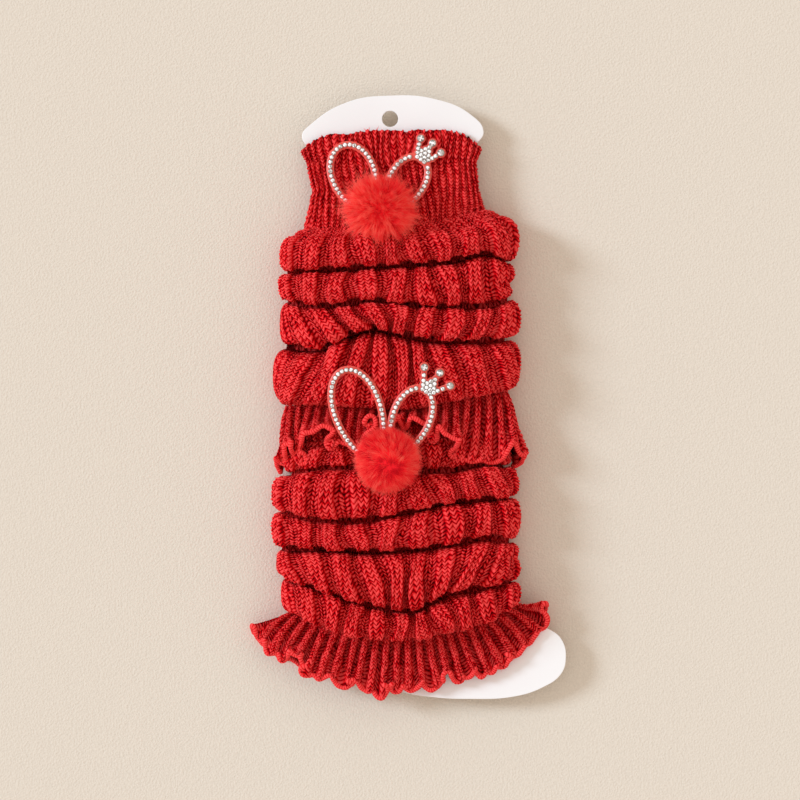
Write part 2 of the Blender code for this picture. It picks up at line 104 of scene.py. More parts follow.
UPPER_CUFF = (
    Row((108.0, 114.4, 116.2, 117.9, 117.5, 117.7, 114.6, 109.3), -47.6, 32.6, 11.6, 8.0, 5.0, 4.0),
    Row((103.2,) * 8, -44.2, 29.3, 12.0, 8.0, 5.0, 4.0),
    Row((91.3,) * 8, -42.0, 30.4, 12.6, 8.0, 5.0, 4.0),
    Row((72.7, 73.6, 74.4, 75.3, 75.8, 76.4, 79.7, 81.5), -46.4, 33.7, 16.0, 8.0, 4.8),
)
UPPER_CREASES = (
    Row((72.4, 73.3, 74.1, 75.0, 75.5, 76.1, 79.4, 81.2), -46.4, 33.7, 16.0, 8.0, 4.8),
    Row((55.2, 56.8, 57.5, 58.3, 59.2, 60.5, 64.0, 59.6), -53.5, 42.9, 16.0),
    Row((42.9, 40.9, 42.2, 43.6, 41.6, 40.7, 40.9, 43.8), -53.5, 43.1, 16.0),
    Row((22.7, 21.6, 27.9, 31.2, 28.2, 25.7, 25.7, 26.2), -53.9, 42.0, 16.0, gather=0.25),
    Row((-3.3, -3.1, -3.7, -4.4, -5.1, -1.5, 1.5, 3.3), -53.5, 42.9, 16.2, back=1.0, square=3.6),
)
UPPER_FOLDS = (
    Fold(-55.2, 46.6, 26.0),
    Fold(-55.7, 44.7, 25.0),
    Fold(-55.2, 47.7, 26.0),
    Fold(-58.3, 47.3, 26.0, 3.0),
)
# How far each crease stands open at its left and right end, from the cuff down.
UPPER_SLOTS = ((0.5, 0.5), (0.65, 1.0), (0.6, 0.5), (1.0, 0.45), (0.5, 0.5))
LOWER_SLOTS = ((0.6, 0.6), (0.35, 0.75), (0.2, 1.0), (1.0, 0.35), (0.5, 0.5), (0.5, 0.5))
# How far ribs have drifted to the right at each crease, in ribs: on the left side and on the right side.
UPPER_DRIFTS = ((0.0, 0.0), (-0.1, 0.7), (0.0, 0.9), (0.8, 0.5), (0.0, 1.2))
UPPER_HEM = (
    Row((-3.6, -3.4, -4.0, -4.7, -5.4, -1.8, 1.2, 3.0), -53.5, 42.9, 16.2, back=1.0, square=3.6),
    Row((-27.9, -15.2, -20.0, -9.0, -8.6, -24.0, -27.1, -26.2), -59.6, 52.1, 21.8, 9.0, 0.0),
)

LOWER_CUFF = (
    Row((5.0,) * 8, -46.6, 36.6, 12.2, 8.0, 5.0, 4.0),
    Row((-8.0,) * 8, -46.6, 36.6, 12.2, 8.0, 5.0, 4.0),
    Row((-21.0, -20.2, -19.3, -18.8, -18.8, -18.8, -19.3, -20.2), -48.6, 38.4, 16.0, 8.0, 4.8),
)
LOWER_CREASES = (
    Row((-21.3, -20.5, -19.6, -19.1, -19.1, -19.1, -19.6, -20.5), -48.6, 38.4, 16.0, 8.0, 4.8),
    Row((-33.7, -30.8, -30.1, -30.6, -31.7, -31.7, -28.8, -30.1), -52.0, 42.0, 16.0),
    Row((-49.9, -53.2, -53.9, -52.8, -49.9, -45.8, -44.0, -43.8), -56.0, 43.3, 16.0),
    Row((-66.2, -65.9, -66.3, -66.7, -65.9, -64.0, -60.9, -63.1), -56.0, 44.5, 16.0),
    Row((-79.0, -83.4, -87.8, -91.1, -93.5, -85.1, -82.9, -80.7), -54.8, 45.0, 16.0, gather=0.25),
    Row((-94.4, -101.0, -104.3, -105.4, -105.4, -103.0, -98.3, -90.9), -52.1, 45.0, 16.0),
)
LOWER_FOLDS = (
    Fold(-53.5, 43.0, 18.2, 0.8, 2.5),
    Fold(-57.9, 46.4, 25.5),
    Fold(-58.3, 47.5, 24.5),
    Fold(-57.0, 47.5, 26.5, 3.0),
    Fold(-54.8, 47.7, 26.0),
)
LOWER_DRIFTS = ((0.0, 0.0), (-0.2, 0.2), (-0.3, 0.8), (-0.2, 0.9), (0.5, 0.1), (1.0, -0.3))
LOWER_HEM = (
    Row((-95.0, -101.3, -104.6, -105.7, -105.7, -103.3, -98.6, -91.7), -52.1, 45.0, 16.0),
    Row(
        (-98.2, -97.2, -96.4, -95.7, -94.8, -93.8, -92.9, -92.3),
        -69.3, 60.9, 13.8, 8.5, 0.0, 4.0, 0.0, 34.8, 28.0,
    ),
)

# The overlocked edge of each hem seen from above, from its left tip to its right tip.
UPPER_EDGE = (
    (-56.9, -33.0), (-59.0, -27.5), (-58.3, -26.1), (-56.1, -29.1), (-54.1, -27.7), (-54.9, -25.1),
    (-55.3, -22.4), (-52.8, -19.4), (-51.2, -19.3), (-51.0, -22.0), (-50.2, -25.1), (-49.2, -27.7),
    (-47.5, -28.8), (-44.9, -26.9), (-45.3, -25.1), (-47.7, -23.6), (-48.4, -21.2), (-47.7, -18.9),
    (-45.3, -15.3), (-42.5, -14.3), (-39.8, -13.0), (-37.8, -12.2), (-34.3, -12.8), (-32.3, -14.9),
    (-33.5, -16.9), (-35.9, -17.7), (-36.1, -19.8), (-34.3, -22.0), (-32.7, -20.8), (-30.8, -19.3),
    (-28.0, -19.6), (-26.4, -21.2), (-24.5, -22.8), (-22.0, -21.8), (-20.7, -18.5), (-18.5, -15.4),
    (-17.0, -13.4), (-15.0, -11.4), (-15.5, -9.0), (-17.8, -8.8), (-19.0, -10.6), (-16.9, -11.7),
    (-13.4, -13.6), (-9.9, -13.9), (-7.5, -11.7), (-6.6, -9.0), (-4.3, -8.4), (-3.1, -10.1),
    (-2.5, -13.0), (-1.1, -13.9), (-0.8, -11.2), (0.2, -9.0), (2.6, -8.6), (5.3, -9.7),
    (7.0, -11.4), (9.7, -10.3), (11.0, -11.1), (9.3, -14.5), (8.6, -16.9), (10.0, -19.4),
    (11.8, -19.1), (12.2, -16.5), (12.0, -13.7), (13.3, -12.3), (15.1, -13.3), (15.9, -15.6),
    (18.3, -16.8), (21.4, -17.6), (22.6, -19.6), (21.8, -21.5), (19.4, -22.7), (18.3, -24.3),
    (19.8, -26.2), (23.0, -27.2), (26.1, -27.6), (28.9, -27.8), (30.8, -27.8), (33.6, -28.2),
    (37.5, -28.0), (40.7, -27.0), (43.0, -24.3), (44.6, -21.1), (45.4, -19.4), (46.9, -19.6),
    (48.5, -22.3), (50.1, -24.7), (52.2, -24.3), (51.3, -26.6), (49.3, -29.2), (46.6, -30.2),
)
LOWER_EDGE = (
    (-69.2, -100.2), (-67.5, -101.9), (-67.0, -104.7), (-64.7, -107.4), (-62.5, -110.1), (-61.8, -112.1),
    (-59.8, -111.5), (-58.0, -113.3), (-56.8, -115.9), (-54.8, -115.9), (-53.9, -113.3), (-51.7, -111.5),
    (-49.0, -112.8), (-46.3, -115.5), (-45.2, -118.6), (-46.8, -120.6), (-45.1, -121.7), (-42.7, -122.7),
    (-38.7, -123.8), (-36.7, -122.4), (-35.1, -123.0), (-33.3, -123.6), (-31.0, -125.4), (-27.5, -127.2),
    (-25.2, -126.9), (-26.5, -124.9), (-25.7, -123.1), (-24.0, -123.6), (-23.0, -125.4), (-20.7, -127.6),
    (-17.1, -129.4), (-14.0, -131.2), (-11.3, -130.5), (-9.9, -128.1), (-8.9, -125.5), (-7.5, -126.1),
    (-6.8, -128.7), (-4.6, -128.9), (-2.9, -127.2), (-1.7, -127.8), (0.2, -128.7), (3.3, -127.6),
    (5.4, -126.9), (6.8, -125.2), (8.9, -127.1), (12.9, -126.9), (15.5, -125.0), (14.7, -122.2),
    (16.9, -120.6), (19.3, -121.7), (21.0, -124.5), (24.0, -124.6), (26.0, -122.0), (28.4, -120.8),
    (30.6, -120.4), (31.9, -122.4), (34.7, -121.6), (37.2, -120.8), (38.3, -118.6), (40.5, -119.5),
    (42.2, -118.3), (43.3, -115.6), (45.0, -115.9), (44.4, -114.0), (46.3, -112.9), (50.8, -110.4),
    (54.2, -108.3), (54.9, -105.9), (56.4, -103.8), (59.2, -102.3), (60.5, -99.8), (60.4, -96.3),
    (58.3, -93.2), (58.9, -90.9), (60.8, -90.4),
)

# How far the loose parts of each hem's edge lift, and how wide its small curls are.
UPPER_LIFT, UPPER_CURL = 3.2, 0.5
LOWER_LIFT, LOWER_CURL = 1.6, 1.2

# A soft trough pressed in the cloth between two places seen from above: its half width and depth.
Trough = namedtuple("Trough", "x0 y0 x1 y1 width depth")
UPPER_TROUGHS = (
    Trough(-56.0, 33.5, -40.0, 31.0, 2.6, 2.4),
    Trough(46.0, 50.0, 38.0, 50.5, 2.2, 2.2),
    Trough(10.0, 77.5, 27.0, 76.0, 2.6, 1.8),
    Trough(-30.0, 66.5, -22.0, 75.0, 2.6, 1.0),
    Trough(20.0, 12.0, 40.0, 8.0, 4.0, 1.2),
    Trough(-50.0, 9.0, -36.0, 15.0, 3.6, 1.1),
)
LOWER_TROUGHS = (
    Trough(-28.0, -23.0, -20.0, -29.0, 2.4, 1.6),
    Trough(26.0, -37.5, 44.0, -35.0, 2.6, 1.4),
    Trough(-54.0, -60.0, -44.0, -58.5, 2.4, 1.6),
    Trough(16.0, -90.0, 30.0, -84.0, 3.0, 2.0),
    Trough(46.0, -71.0, 37.0, -72.5, 2.4, 1.8),
    Trough(-46.0, -89.0, -37.0, -92.5, 2.8, 1.4),
)
# Where the ribs are gathered close together.
Pinch = namedtuple("Pinch", "x y wide long amount")
UPPER_PINCHES = (
    Pinch(-8.0, 22.0, 26.0, 13.0, 1.0),
    Pinch(-30.0, 30.0, 9.0, 8.0, 0.7),
    Pinch(18.0, 44.0, 14.0, 6.0, 0.4),
)
LOWER_PINCHES = (
    Pinch(2.0, -86.0, 30.0, 8.0, 1.0),
    Pinch(-24.0, -104.0, 30.0, 6.0, 0.4),
    Pinch(30.0, -58.0, 18.0, 6.0, 0.4),
)
# Troughs on the hidden side.
UPPER_BACK_TROUGHS = (
    Trough(-38.0, 64.0, -14.0, 68.0, 2.4, 1.0),
    Trough(6.0, 50.0, 30.0, 47.0, 2.8, 0.9),
    Trough(-30.0, 8.0, -6.0, 13.0, 3.0, 1.1),
    Trough(14.0, 16.0, 36.0, 12.0, 2.6, 1.0),
)
LOWER_BACK_TROUGHS = (
    Trough(-40.0, -42.0, -18.0, -39.0, 2.6, 1.0),
    Trough(4.0, -58.0, 28.0, -55.0, 2.4, 0.9),
    Trough(-28.0, -76.0, -4.0, -73.0, 2.8, 1.1),
    Trough(12.0, -92.0, 34.0, -88.0, 2.6, 0.9),
)

Leg = namedtuple("Leg", "creases folds slots drifts pinches troughs back_troughs")
UPPER_LEG = Leg(
    UPPER_CREASES, UPPER_FOLDS, UPPER_SLOTS, UPPER_DRIFTS, UPPER_PINCHES, UPPER_TROUGHS, UPPER_BACK_TROUGHS
)
LOWER_LEG = Leg(
    LOWER_CREASES, LOWER_FOLDS, LOWER_SLOTS, LOWER_DRIFTS, LOWER_PINCHES, LOWER_TROUGHS, LOWER_BACK_TROUGHS
)

CARD_EDGE = (
    (-8.1, 133.1), (10.8, 131.8), (27.5, 124.7), (33.0, 117.3), (29.9, 111.8), (26.9, 105.0), (26.2, 92.6),
    (28.5, 76.0), (32.5, 45.0), (32.5, -60.0), (32.5, -84.0), (41.0, -97.2), (53.0, -99.0), (61.0, -102.0),
    (67.3, -106.7), (69.3, -115.5), (67.1, -122.1), (59.2, -127.8), (46.9, -131.8), (26.2, -132.9),
    (11.7, -132.2), (-3.7, -129.6), (-25.7, -121.0), (-40.5, -110.0), (-44.0, -97.0), (-42.5, -75.0),
    (-42.5, 45.0), (-40.0, 76.0), (-38.1, 92.6), (-39.0, 102.0), (-42.3, 108.6), (-46.8, 115.4),
    (-42.9, 120.5), (-26.2, 130.5),
)
CARD_MIDDLE = 8.0
CARD_THICKNESS = 1.0
CARD_BEVEL = 0.18
CARD_SHARP = math.radians(40.0)
HANG_HOLE = (-8.1, 123.0)
HANG_HOLE_RADIUS = 3.7
HOLE_POINTS = 8

# One rabbit-ear trim: where its plate and pompom sit, and how steeply it rises towards the ears.
Trim = namedtuple("Trim", "name x y height rise pompom_top ears crown")
Ear = namedtuple("Ear", "foot top width")
Crown = namedtuple("Crown", "x y heading spread reach")
TRIMS = (
    Trim(
        "upper", -13.4, 82.5, 16.6, -0.1, 35.0,
        (Ear((-18.3, 82.0), (-29.0, 111.0), 19.6), Ear((-8.3, 83.0), (5.6, 105.4), 16.0)),
        Crown(5.4, 104.9, math.radians(54.0), math.radians(36.0), 9.3),
    ),
    Trim(
        "lower", -9.2, -27.5, 24.2, 0.12, 38.0,
        (Ear((-15.0, -27.5), (-28.2, 12.2), 21.2), Ear((-5.0, -24.4), (6.4, 4.0), 17.0)),
        Crown(7.7, 2.8, math.radians(54.0), math.radians(40.0), 10.8),
    ),
)
STRIP_WIDTH = 3.4
STRIP_THICKNESS = 1.2
# An ear's loop: how round its top is, the share of its width that it fills, and how far it opens at its foot.
EAR_ROUNDNESS = 0.35
EAR_FILL = 0.93
EAR_OPENING = 0.25
# Points of the loop from which stones are placed, and along a strip.
EAR_POINTS = 400
STRIP_POINTS = 48
# The crown's pad: how many stones stand in each row, from the ear outwards.
CROWN_ROWS = (3, 4, 5, 2, 1)
ROW_STEP = math.sqrt(3.0) / 2.0
# Pitch of the pad's stones, and how far from them the ear's own stones end, in pitches.
CROWN_PITCH = 0.92
PAD_CLEARANCE = 0.72
# Where a small stone sits on an outer prong, how far the middle prong reaches, and a prong's width.
PRONG_STONE = 0.4
MIDDLE_REACH = 0.95
PRONG_WIDTH = 0.8
PLATE_RADIUS = 6.5
PAD_RADIUS = 1.65
PAD_STEP = 0.01
DOT_RADIUS = 2.2
# The share of its thickness that a pad's edge is softened by, and the angle at which the backing is sharp.
PAD_BEVEL = 0.35
BACKING_SHARP = math.radians(50.0)
# How stones turn and lean from one to the next, how high they sit, and how bright their facets' painted
# reflections are.
STONE_TURN, STONE_LEAN, STONE_SWAY = 2.4, 0.05, 5.1
STONE_LIFT = 0.02
SMALL_GLINT, LARGE_GLINT, GLINT_SPREAD = 0.5, 0.2, 0.5
POMPOM_RADIUS = 15.4

# The stage: the floor and how far below the part it lies, the sun's way and spread, and the camera's place.
FLOOR_METRES = 6.0
FLOOR_GAP = 0.2
KEY_WAY = (1.0, -0.32, -0.56)
KEY_SPREAD = math.radians(16.0)
CAMERA_OVER = (-3.74, -1.1, 16.0)


def linear(code):
    """An sRGB hex colour as the linear numbers that shaders take."""
    channels = [int(code[i:i + 2], 16) / 255.0 for i in (0, 2, 4)]
    return tuple(c / 12.92 if c <= 0.04045 else ((c + 0.055) / 1.055) ** 2.4 for c in channels)


def mix(a, b, share):
    return a + (b - a) * share


def ramp(x, low, high):
    """A smooth step from 0 at low to 1 at high."""
    t = np.clip((x - low) / (high - low), 0.0, 1.0)
    return t * t * (3.0 - 2.0 * t)


def bell(x, middle, width):
    """A smooth hump, 1 in its middle."""
    return np.exp(-((x - middle) / width) ** 2)


def unit(vectors, least=1e-9):
    """Vectors brought to length 1, apart from those shorter than the least length."""
    return vectors / np.maximum(np.linalg.norm(vectors, axis=-1, keepdims=True), least)


def gaps(points):
    """Distances from each point, or row of points, to the next."""
    return np.linalg.norm(np.diff(points, axis=0), axis=-1)


def running(steps):
    """How far each point lies from the first one, from the steps between them."""
    return np.concatenate([[0.0], np.cumsum(steps)])


def uneven(shape, seed):
    """Steady random numbers from -1 to 1."""
    return np.random.default_rng(seed).uniform(-1.0, 1.0, shape)


def blur(values, width):
    """Smooth rows of values along a line with held ends."""
    reach = int(3 * width)
    kernel = np.exp(-0.5 * (np.arange(-reach, reach + 1) / width) ** 2)
    kernel /= kernel.sum()
    padded = np.pad(values, ((reach, reach), (0, 0)), mode="edge")
    return np.stack([np.convolve(column, kernel, mode="valid") for column in padded.T], axis=-1)


def blur_ring(values, width):
    """Smooth rows of values round a closed line."""
    count = len(values)
    return blur(np.concatenate([values, values, values]), width)[count:2 * count]


# Plain forms of the tubes


def hermite(x, stations, values, tangents):
    """Read a smooth curve that has given values and slopes at its stations."""
    spans = np.diff(stations)
    index = np.clip(np.searchsorted(stations, x) - 1, 0, len(spans) - 1)
    u = (x - stations[index]) / spans[index]
    return (
        (1 + 2 * u) * (1 - u) ** 2 * values[index]
        + u * (1 - u) ** 2 * spans[index] * tangents[index]
        + u * u * (3 - 2 * u) * values[index + 1]
        + u * u * (u - 1) * spans[index] * tangents[index + 1]
    )


def smooth_curve(x, stations, values):
    """Read a curve that passes through the stations without overshooting between them."""
    stations, values = np.asarray(stations, float), np.asarray(values, float)
    slopes = np.diff(values) / np.diff(stations)
    before, after = slopes[:-1], slopes[1:]
    same_way = after * before > 0
    sums = np.where(same_way, after + before, 1.0)
    inner = np.where(same_way, 2 * after * before / sums, 0.0)
    tangents = np.concatenate([slopes[:1], inner, slopes[-1:]])
    return hermite(np.clip(x, stations[0], stations[-1]), stations, values, tangents)


def mix_rows(a, b, share):
    """The ring a share of the way from one row to the next."""
    across = tuple(mix(p, q, share) for p, q in zip(a.across, b.across))
    return Row(across, *(mix(p, q, share) for p, q in zip(a[1:], b[1:])))


def ring_point(row, theta, lean=0.0):
    """The plain tube on one row, at angles from the right side (0) over the front (half pi) and back."""
    cosine, sine = np.cos(theta), np.sin(theta)
    wide, high = (np.abs(part) ** (row.square / TYPICAL_SQUARE) for part in (cosine, sine))
    far = np.hypot(wide, high)
    power = 2.0 / row.square
    t = np.sign(cosine) * (wide / far) ** power
    t = t * (1.0 - row.gather * (1.0 - t * t))
    rise = (high / far) ** power
    in_front = sine >= 0
    x = mix(row.left, row.right, (t + 1.0) / 2.0)
    y_front = smooth_curve(t, COLUMNS, row.across)
    y_side = mix(row.across[0], row.across[-1], (t + 1.0) / 2.0)
    drop = np.sqrt(np.clip(1.0 - t * t, 0.0, 1.0))
    y = np.where(in_front, y_front - row.hang * drop - lean * rise, y_side - row.hang_back * drop)
    z_front = mix(row.middle, row.front, rise)
    z_back = mix(row.middle, row.back, np.minimum(1.0, BACK_FLATNESS * rise))
    return np.stack([x, y, np.where(in_front, z_front, z_back)], axis=-1)


def folded_point(leg, v, theta):
    """The plain leg: v counts the folds from the cuff, and each rolls out from one crease to the next."""
    index = min(int(v), len(leg.folds) - 1)
    u = v - index
    fold = leg.folds[index]
    travel = (1.0 - math.cos(math.pi * u)) / 2.0
    bulge = max(0.0, math.sin(math.pi * u)) ** FOLD_FULLNESS
    base = mix_rows(leg.creases[index], leg.creases[index + 1], travel)
    row = base._replace(
        left=mix(base.left, fold.left, bulge),
        right=mix(base.right, fold.right, bulge),
        front=mix(base.front, fold.front, bulge),
        middle=mix(base.middle, FOLD_MIDDLE, bulge),
        back=mix(base.back, fold.back, min(1.0, BACK_FULLNESS * bulge)),
    )
    return ring_point(row, theta, lean=fold.lean * bulge)


def rowed_point(rows, v, theta, flat_back=False):
    """The plain cuff or hem: v runs from 0 to 1 over the rows."""
    place = v * (len(rows) - 1)
    index = min(int(place), len(rows) - 2)
    row = mix_rows(rows[index], rows[index + 1], place - index)
    if flat_back:
        row = row._replace(back=rows[0].back * max(0.0, 1.0 - HEM_BACK_FADE * v))
    return ring_point(row, theta)


def arc_table(start):
    """Angles and the share of the section's length that each has passed, on one half of a typical fold."""
    even = np.linspace(0.0, 1.0, ARC_POINTS)
    slow = np.arcsin(even ** (TYPICAL_SQUARE / 2.0))
    quarter = np.unique(np.concatenate([slow, math.pi / 2.0 - slow]))
    theta = start + np.concatenate([quarter, math.pi - quarter[-2::-1]])
    level = (0.0,) * len(COLUMNS)
    row = Row(level, -TYPICAL_HALF_WIDTH, TYPICAL_HALF_WIDTH, TYPICAL_FRONT, FOLD_MIDDLE, 0.0)
    lengths = running(gaps(ring_point(row, theta)))
    return theta, lengths / lengths[-1]


FRONT_ANGLES, FRONT_SHARES = arc_table(0.0)
BACK_ANGLES, BACK_SHARES = arc_table(math.pi)


def angles_of(turn):
    """Angles of places round the tube: turn is 0 to 1 over the front and 1 to 2 over the back."""
    turn = np.mod(turn, 2.0)
    front = np.interp(turn, FRONT_SHARES, FRONT_ANGLES)
    back = np.interp(turn - 1.0, BACK_SHARES, BACK_ANGLES)
    return np.where(turn < 1.0, front, back)


def rings(plain, steps, turns):
    """The rings of a plain tube: at each step along it, the points at that step's turns round it."""
    return np.array([plain(v, angles_of(turn)) for v, turn in zip(steps, turns)])


# Meshes of the knit

# A rib stitch. wales: knit (1) or purl (0) and its share of the rib's width, one after the other.
# front_steps, back_steps: columns of points in a purl and in a knit wale. rows: rows of points in a course.
Ribbing = namedtuple("Ribbing", "ribs wales front_steps back_steps rows")
LEG_RIBBING = Ribbing(10, tuple((kind, 1 / 6) for kind in (0, 1, 1, 1, 0, 0)), (4, 4), (1, 1), 3)
CUFF_RIBBING = Ribbing(30, ((1, 0.7), (0, 0.3)), (2, 4), (1, 1), 3)
HEM_RIBBING = Ribbing(24, ((1, 0.31), (1, 0.31), (0, 0.38)), (4, 4), (2, 1), 4)
# The inside of a shell has one column and row for so many of the outside's.
INNER_STEP = 4

# How far the yarn slants over half a knit wale and over a purl wale, in courses.
ARM_SLANT = 1.7
GRAIN_SLANT = 0.9
# The lowest height of the yarn across and along a knit stitch, and across and along a purl one.
STITCH_LOWS = (0.6, 0.25, 0.4, 0.15)
# The height of a stitch, how unlike its points are, and what is left of it on the back and out of the light.
STITCH_HEIGHT = 0.9
STITCH_UNEVEN = 0.4
STITCH_BACK = 0.3
STITCH_HOLLOW = 0.2
# The stitches flatten out towards the surface that the pair lies on, over this height.
GROUND_FADE = 6.0
# How far courses have slipped, in two sizes of patches: how much, how wide they are, and their seeds' count.
SLIPS = ((0.32, 2.1, 7), (0.3, 6.0, 5))
# How many courses a shell's end is wide, and how much painted shade its inside gets.
CAP_COURSES = 1.5
INSIDE_PAINTED_SHADE = 0.5


def new_mesh(name, points, face_groups):
    """A mesh from points in millimetres and arrays of faces, each array with one number of corners."""
    loops = np.concatenate([np.asarray(group).ravel() for group in face_groups])
    sizes = np.concatenate([np.full(len(group), np.asarray(group).shape[1]) for group in face_groups])
    mesh = bpy.data.meshes.new(name)
    mesh.vertices.add(len(points))
    mesh.vertices.foreach_set("co", (np.asarray(points, float) * MM).astype(np.float32).ravel())
    mesh.loops.add(len(loops))
    mesh.loops.foreach_set("vertex_index", loops.astype(np.int32))
    mesh.polygons.add(len(sizes))
    starts = np.concatenate([[0], np.cumsum(sizes)[:-1]])
    mesh.polygons.foreach_set("loop_start", starts.astype(np.int32))
    mesh.update(calc_edges=True)
    mesh.shade_smooth()
    return mesh


def add_values(mesh, name, values, domain="POINT"):
    """Give a mesh a number for each of its points or faces."""
    attribute = mesh.attributes.new(name, "FLOAT", domain)
    attribute.data.foreach_set("value", np.asarray(values).astype(np.float32).ravel())


def add_stitch_uv(mesh, uv):
    """Give each corner of a mesh its wale and course."""
    layer = mesh.uv_layers.new(name="stitches")
    layer.data.foreach_set("uv", uv.astype(np.float32).ravel())


def grid_faces(rows, columns, turned=False):
    """Row and column numbers of the corners of each face of a grid, seen from outside or from inside."""
    r, c = (part.reshape(-1, 1) for part in np.meshgrid(np.arange(rows), np.arange(columns), indexing="ij"))
    return r + np.array([0, 0, 1, 1]), c + np.array([1, 0, 0, 1] if turned else [0, 1, 1, 0])


def show(name, mesh, material):
    """Put a finished mesh in the scene as a piece that rides on the card and its knit."""
    mesh.materials.append(material)
    obj = bpy.data.objects.new(name, mesh)
    bpy.context.scene.collection.objects.link(obj)
    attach(obj, "root")
    return obj


def rib_columns(ribbing):
    """Places round the tube of each column of points, its wale number, and how much of it is knit."""
    places, wales, knit = [], [], []
    for half, steps in enumerate((ribbing.front_steps, ribbing.back_steps)):
        for rib in range(ribbing.ribs):
            start = 0.0
            for index, (kind, width) in enumerate(ribbing.wales):
                for step in range(steps[kind]):
                    share = step / steps[kind]
                    places.append(half + (rib + start + width * share) / ribbing.ribs)
                    wales.append((half * ribbing.ribs + rib) * len(ribbing.wales) + index + share)
                    knit.append(kind if step else (kind + ribbing.wales[index - 1][0]) / 2.0)
                start += width
    return np.array(places), np.array(wales, float), np.array(knit, float)


def knit_middle(ribbing):
    """Where the middle of the knit wales stands in a rib, and their share of it."""
    edges = running([width for _, width in ribbing.wales])
    knit = [i for i, (kind, _) in enumerate(ribbing.wales) if kind]
    start, end = edges[knit[0]], edges[knit[-1] + 1]
    return (start + end) / 2.0, end - start


def rib_profile(places, ribbing):
    """The rounded ridge of each rib's knit wales: 1 in their middle and 0 in the middle of the purl ones."""
    middle, width = knit_middle(ribbing)
    away = np.abs((places * ribbing.ribs - middle + 0.5) % 1.0 - 0.5)
    away = np.interp(away, (0.0, width / 2.0, 0.5), (0.0, 0.25, 0.5))
    return 0.5 + 0.5 * np.cos(FULL * away)


def crowd(places, ribbing, amount):
    """Move the columns so that knit wales spread and purl ones close up, as where a rib is gathered."""
    middle, _ = knit_middle(ribbing)
    return places + amount * np.sin(FULL * (places * ribbing.ribs - middle)) / (FULL * ribbing.ribs)


def stitch_height(wale, course, knit):
    """Height from 0 to 1 of the yarn: slanting arms of knit stitches, and zigzag grains of purl ones."""
    arm = np.abs((wale % 1.0) - 0.5)
    zigzag = course + GRAIN_SLANT * np.abs(wale % 2.0 - 1.0)
    turns = (0.5 - arm, course + ARM_SLANT * arm, wale, zigzag)
    parts = [mix(low, 1.0, np.abs(np.sin(math.pi * turn))) for turn, low in zip(turns, STITCH_LOWS)]
    return mix(parts[2] * parts[3], parts[0] * parts[1], knit)


def grid_normals(grid):
    """Unit normals of a closed ring of columns by rows, smoothed a little along the rows."""
    around = np.roll(grid, -1, axis=1) - np.roll(grid, 1, axis=1)
    normals = unit(np.cross(around, np.gradient(grid, axis=0)))
    padded = np.concatenate([normals[:1], normals, normals[-1:]])
    return unit(padded[:-2] + 2.0 * padded[1:-1] + padded[2:])


def even_rows(plain, length, course, rows):
    """Places along the tube a steady share of a course apart, from a function that gives its plain rings."""
    places = np.linspace(0.0, length, ROW_SAMPLES)
    angles = np.linspace(SEEN_FROM, math.pi - SEEN_FROM, SEEN_ANGLES)
    lengths = running(gaps(np.array([plain(v, angles) for v in places])).mean(axis=1))
    courses = max(2, round(lengths[-1] / course))
    return np.interp(np.linspace(0.0, lengths[-1], courses * rows + 1), lengths, places)


def lumps(grid, size, seed):
    """Soft unevenness of hand-pushed cloth: three crossing swells of unlike lengths."""
    x, y = grid[..., 0] / size, grid[..., 1] / size
    return sum(np.sin(a * x + b * y + c * seed) for a, b, c in SWELLS) / len(SWELLS)


def wander(waves, steps, places):
    """How far the ribs of the front wander aside. Each wave has its size and its turns along and round."""
    swing = sum(size * np.sin(along * steps[:, None] + around * places) for size, along, around in waves)
    return swing * np.sin(np.clip(places, 0.0, 1.0) * math.pi)


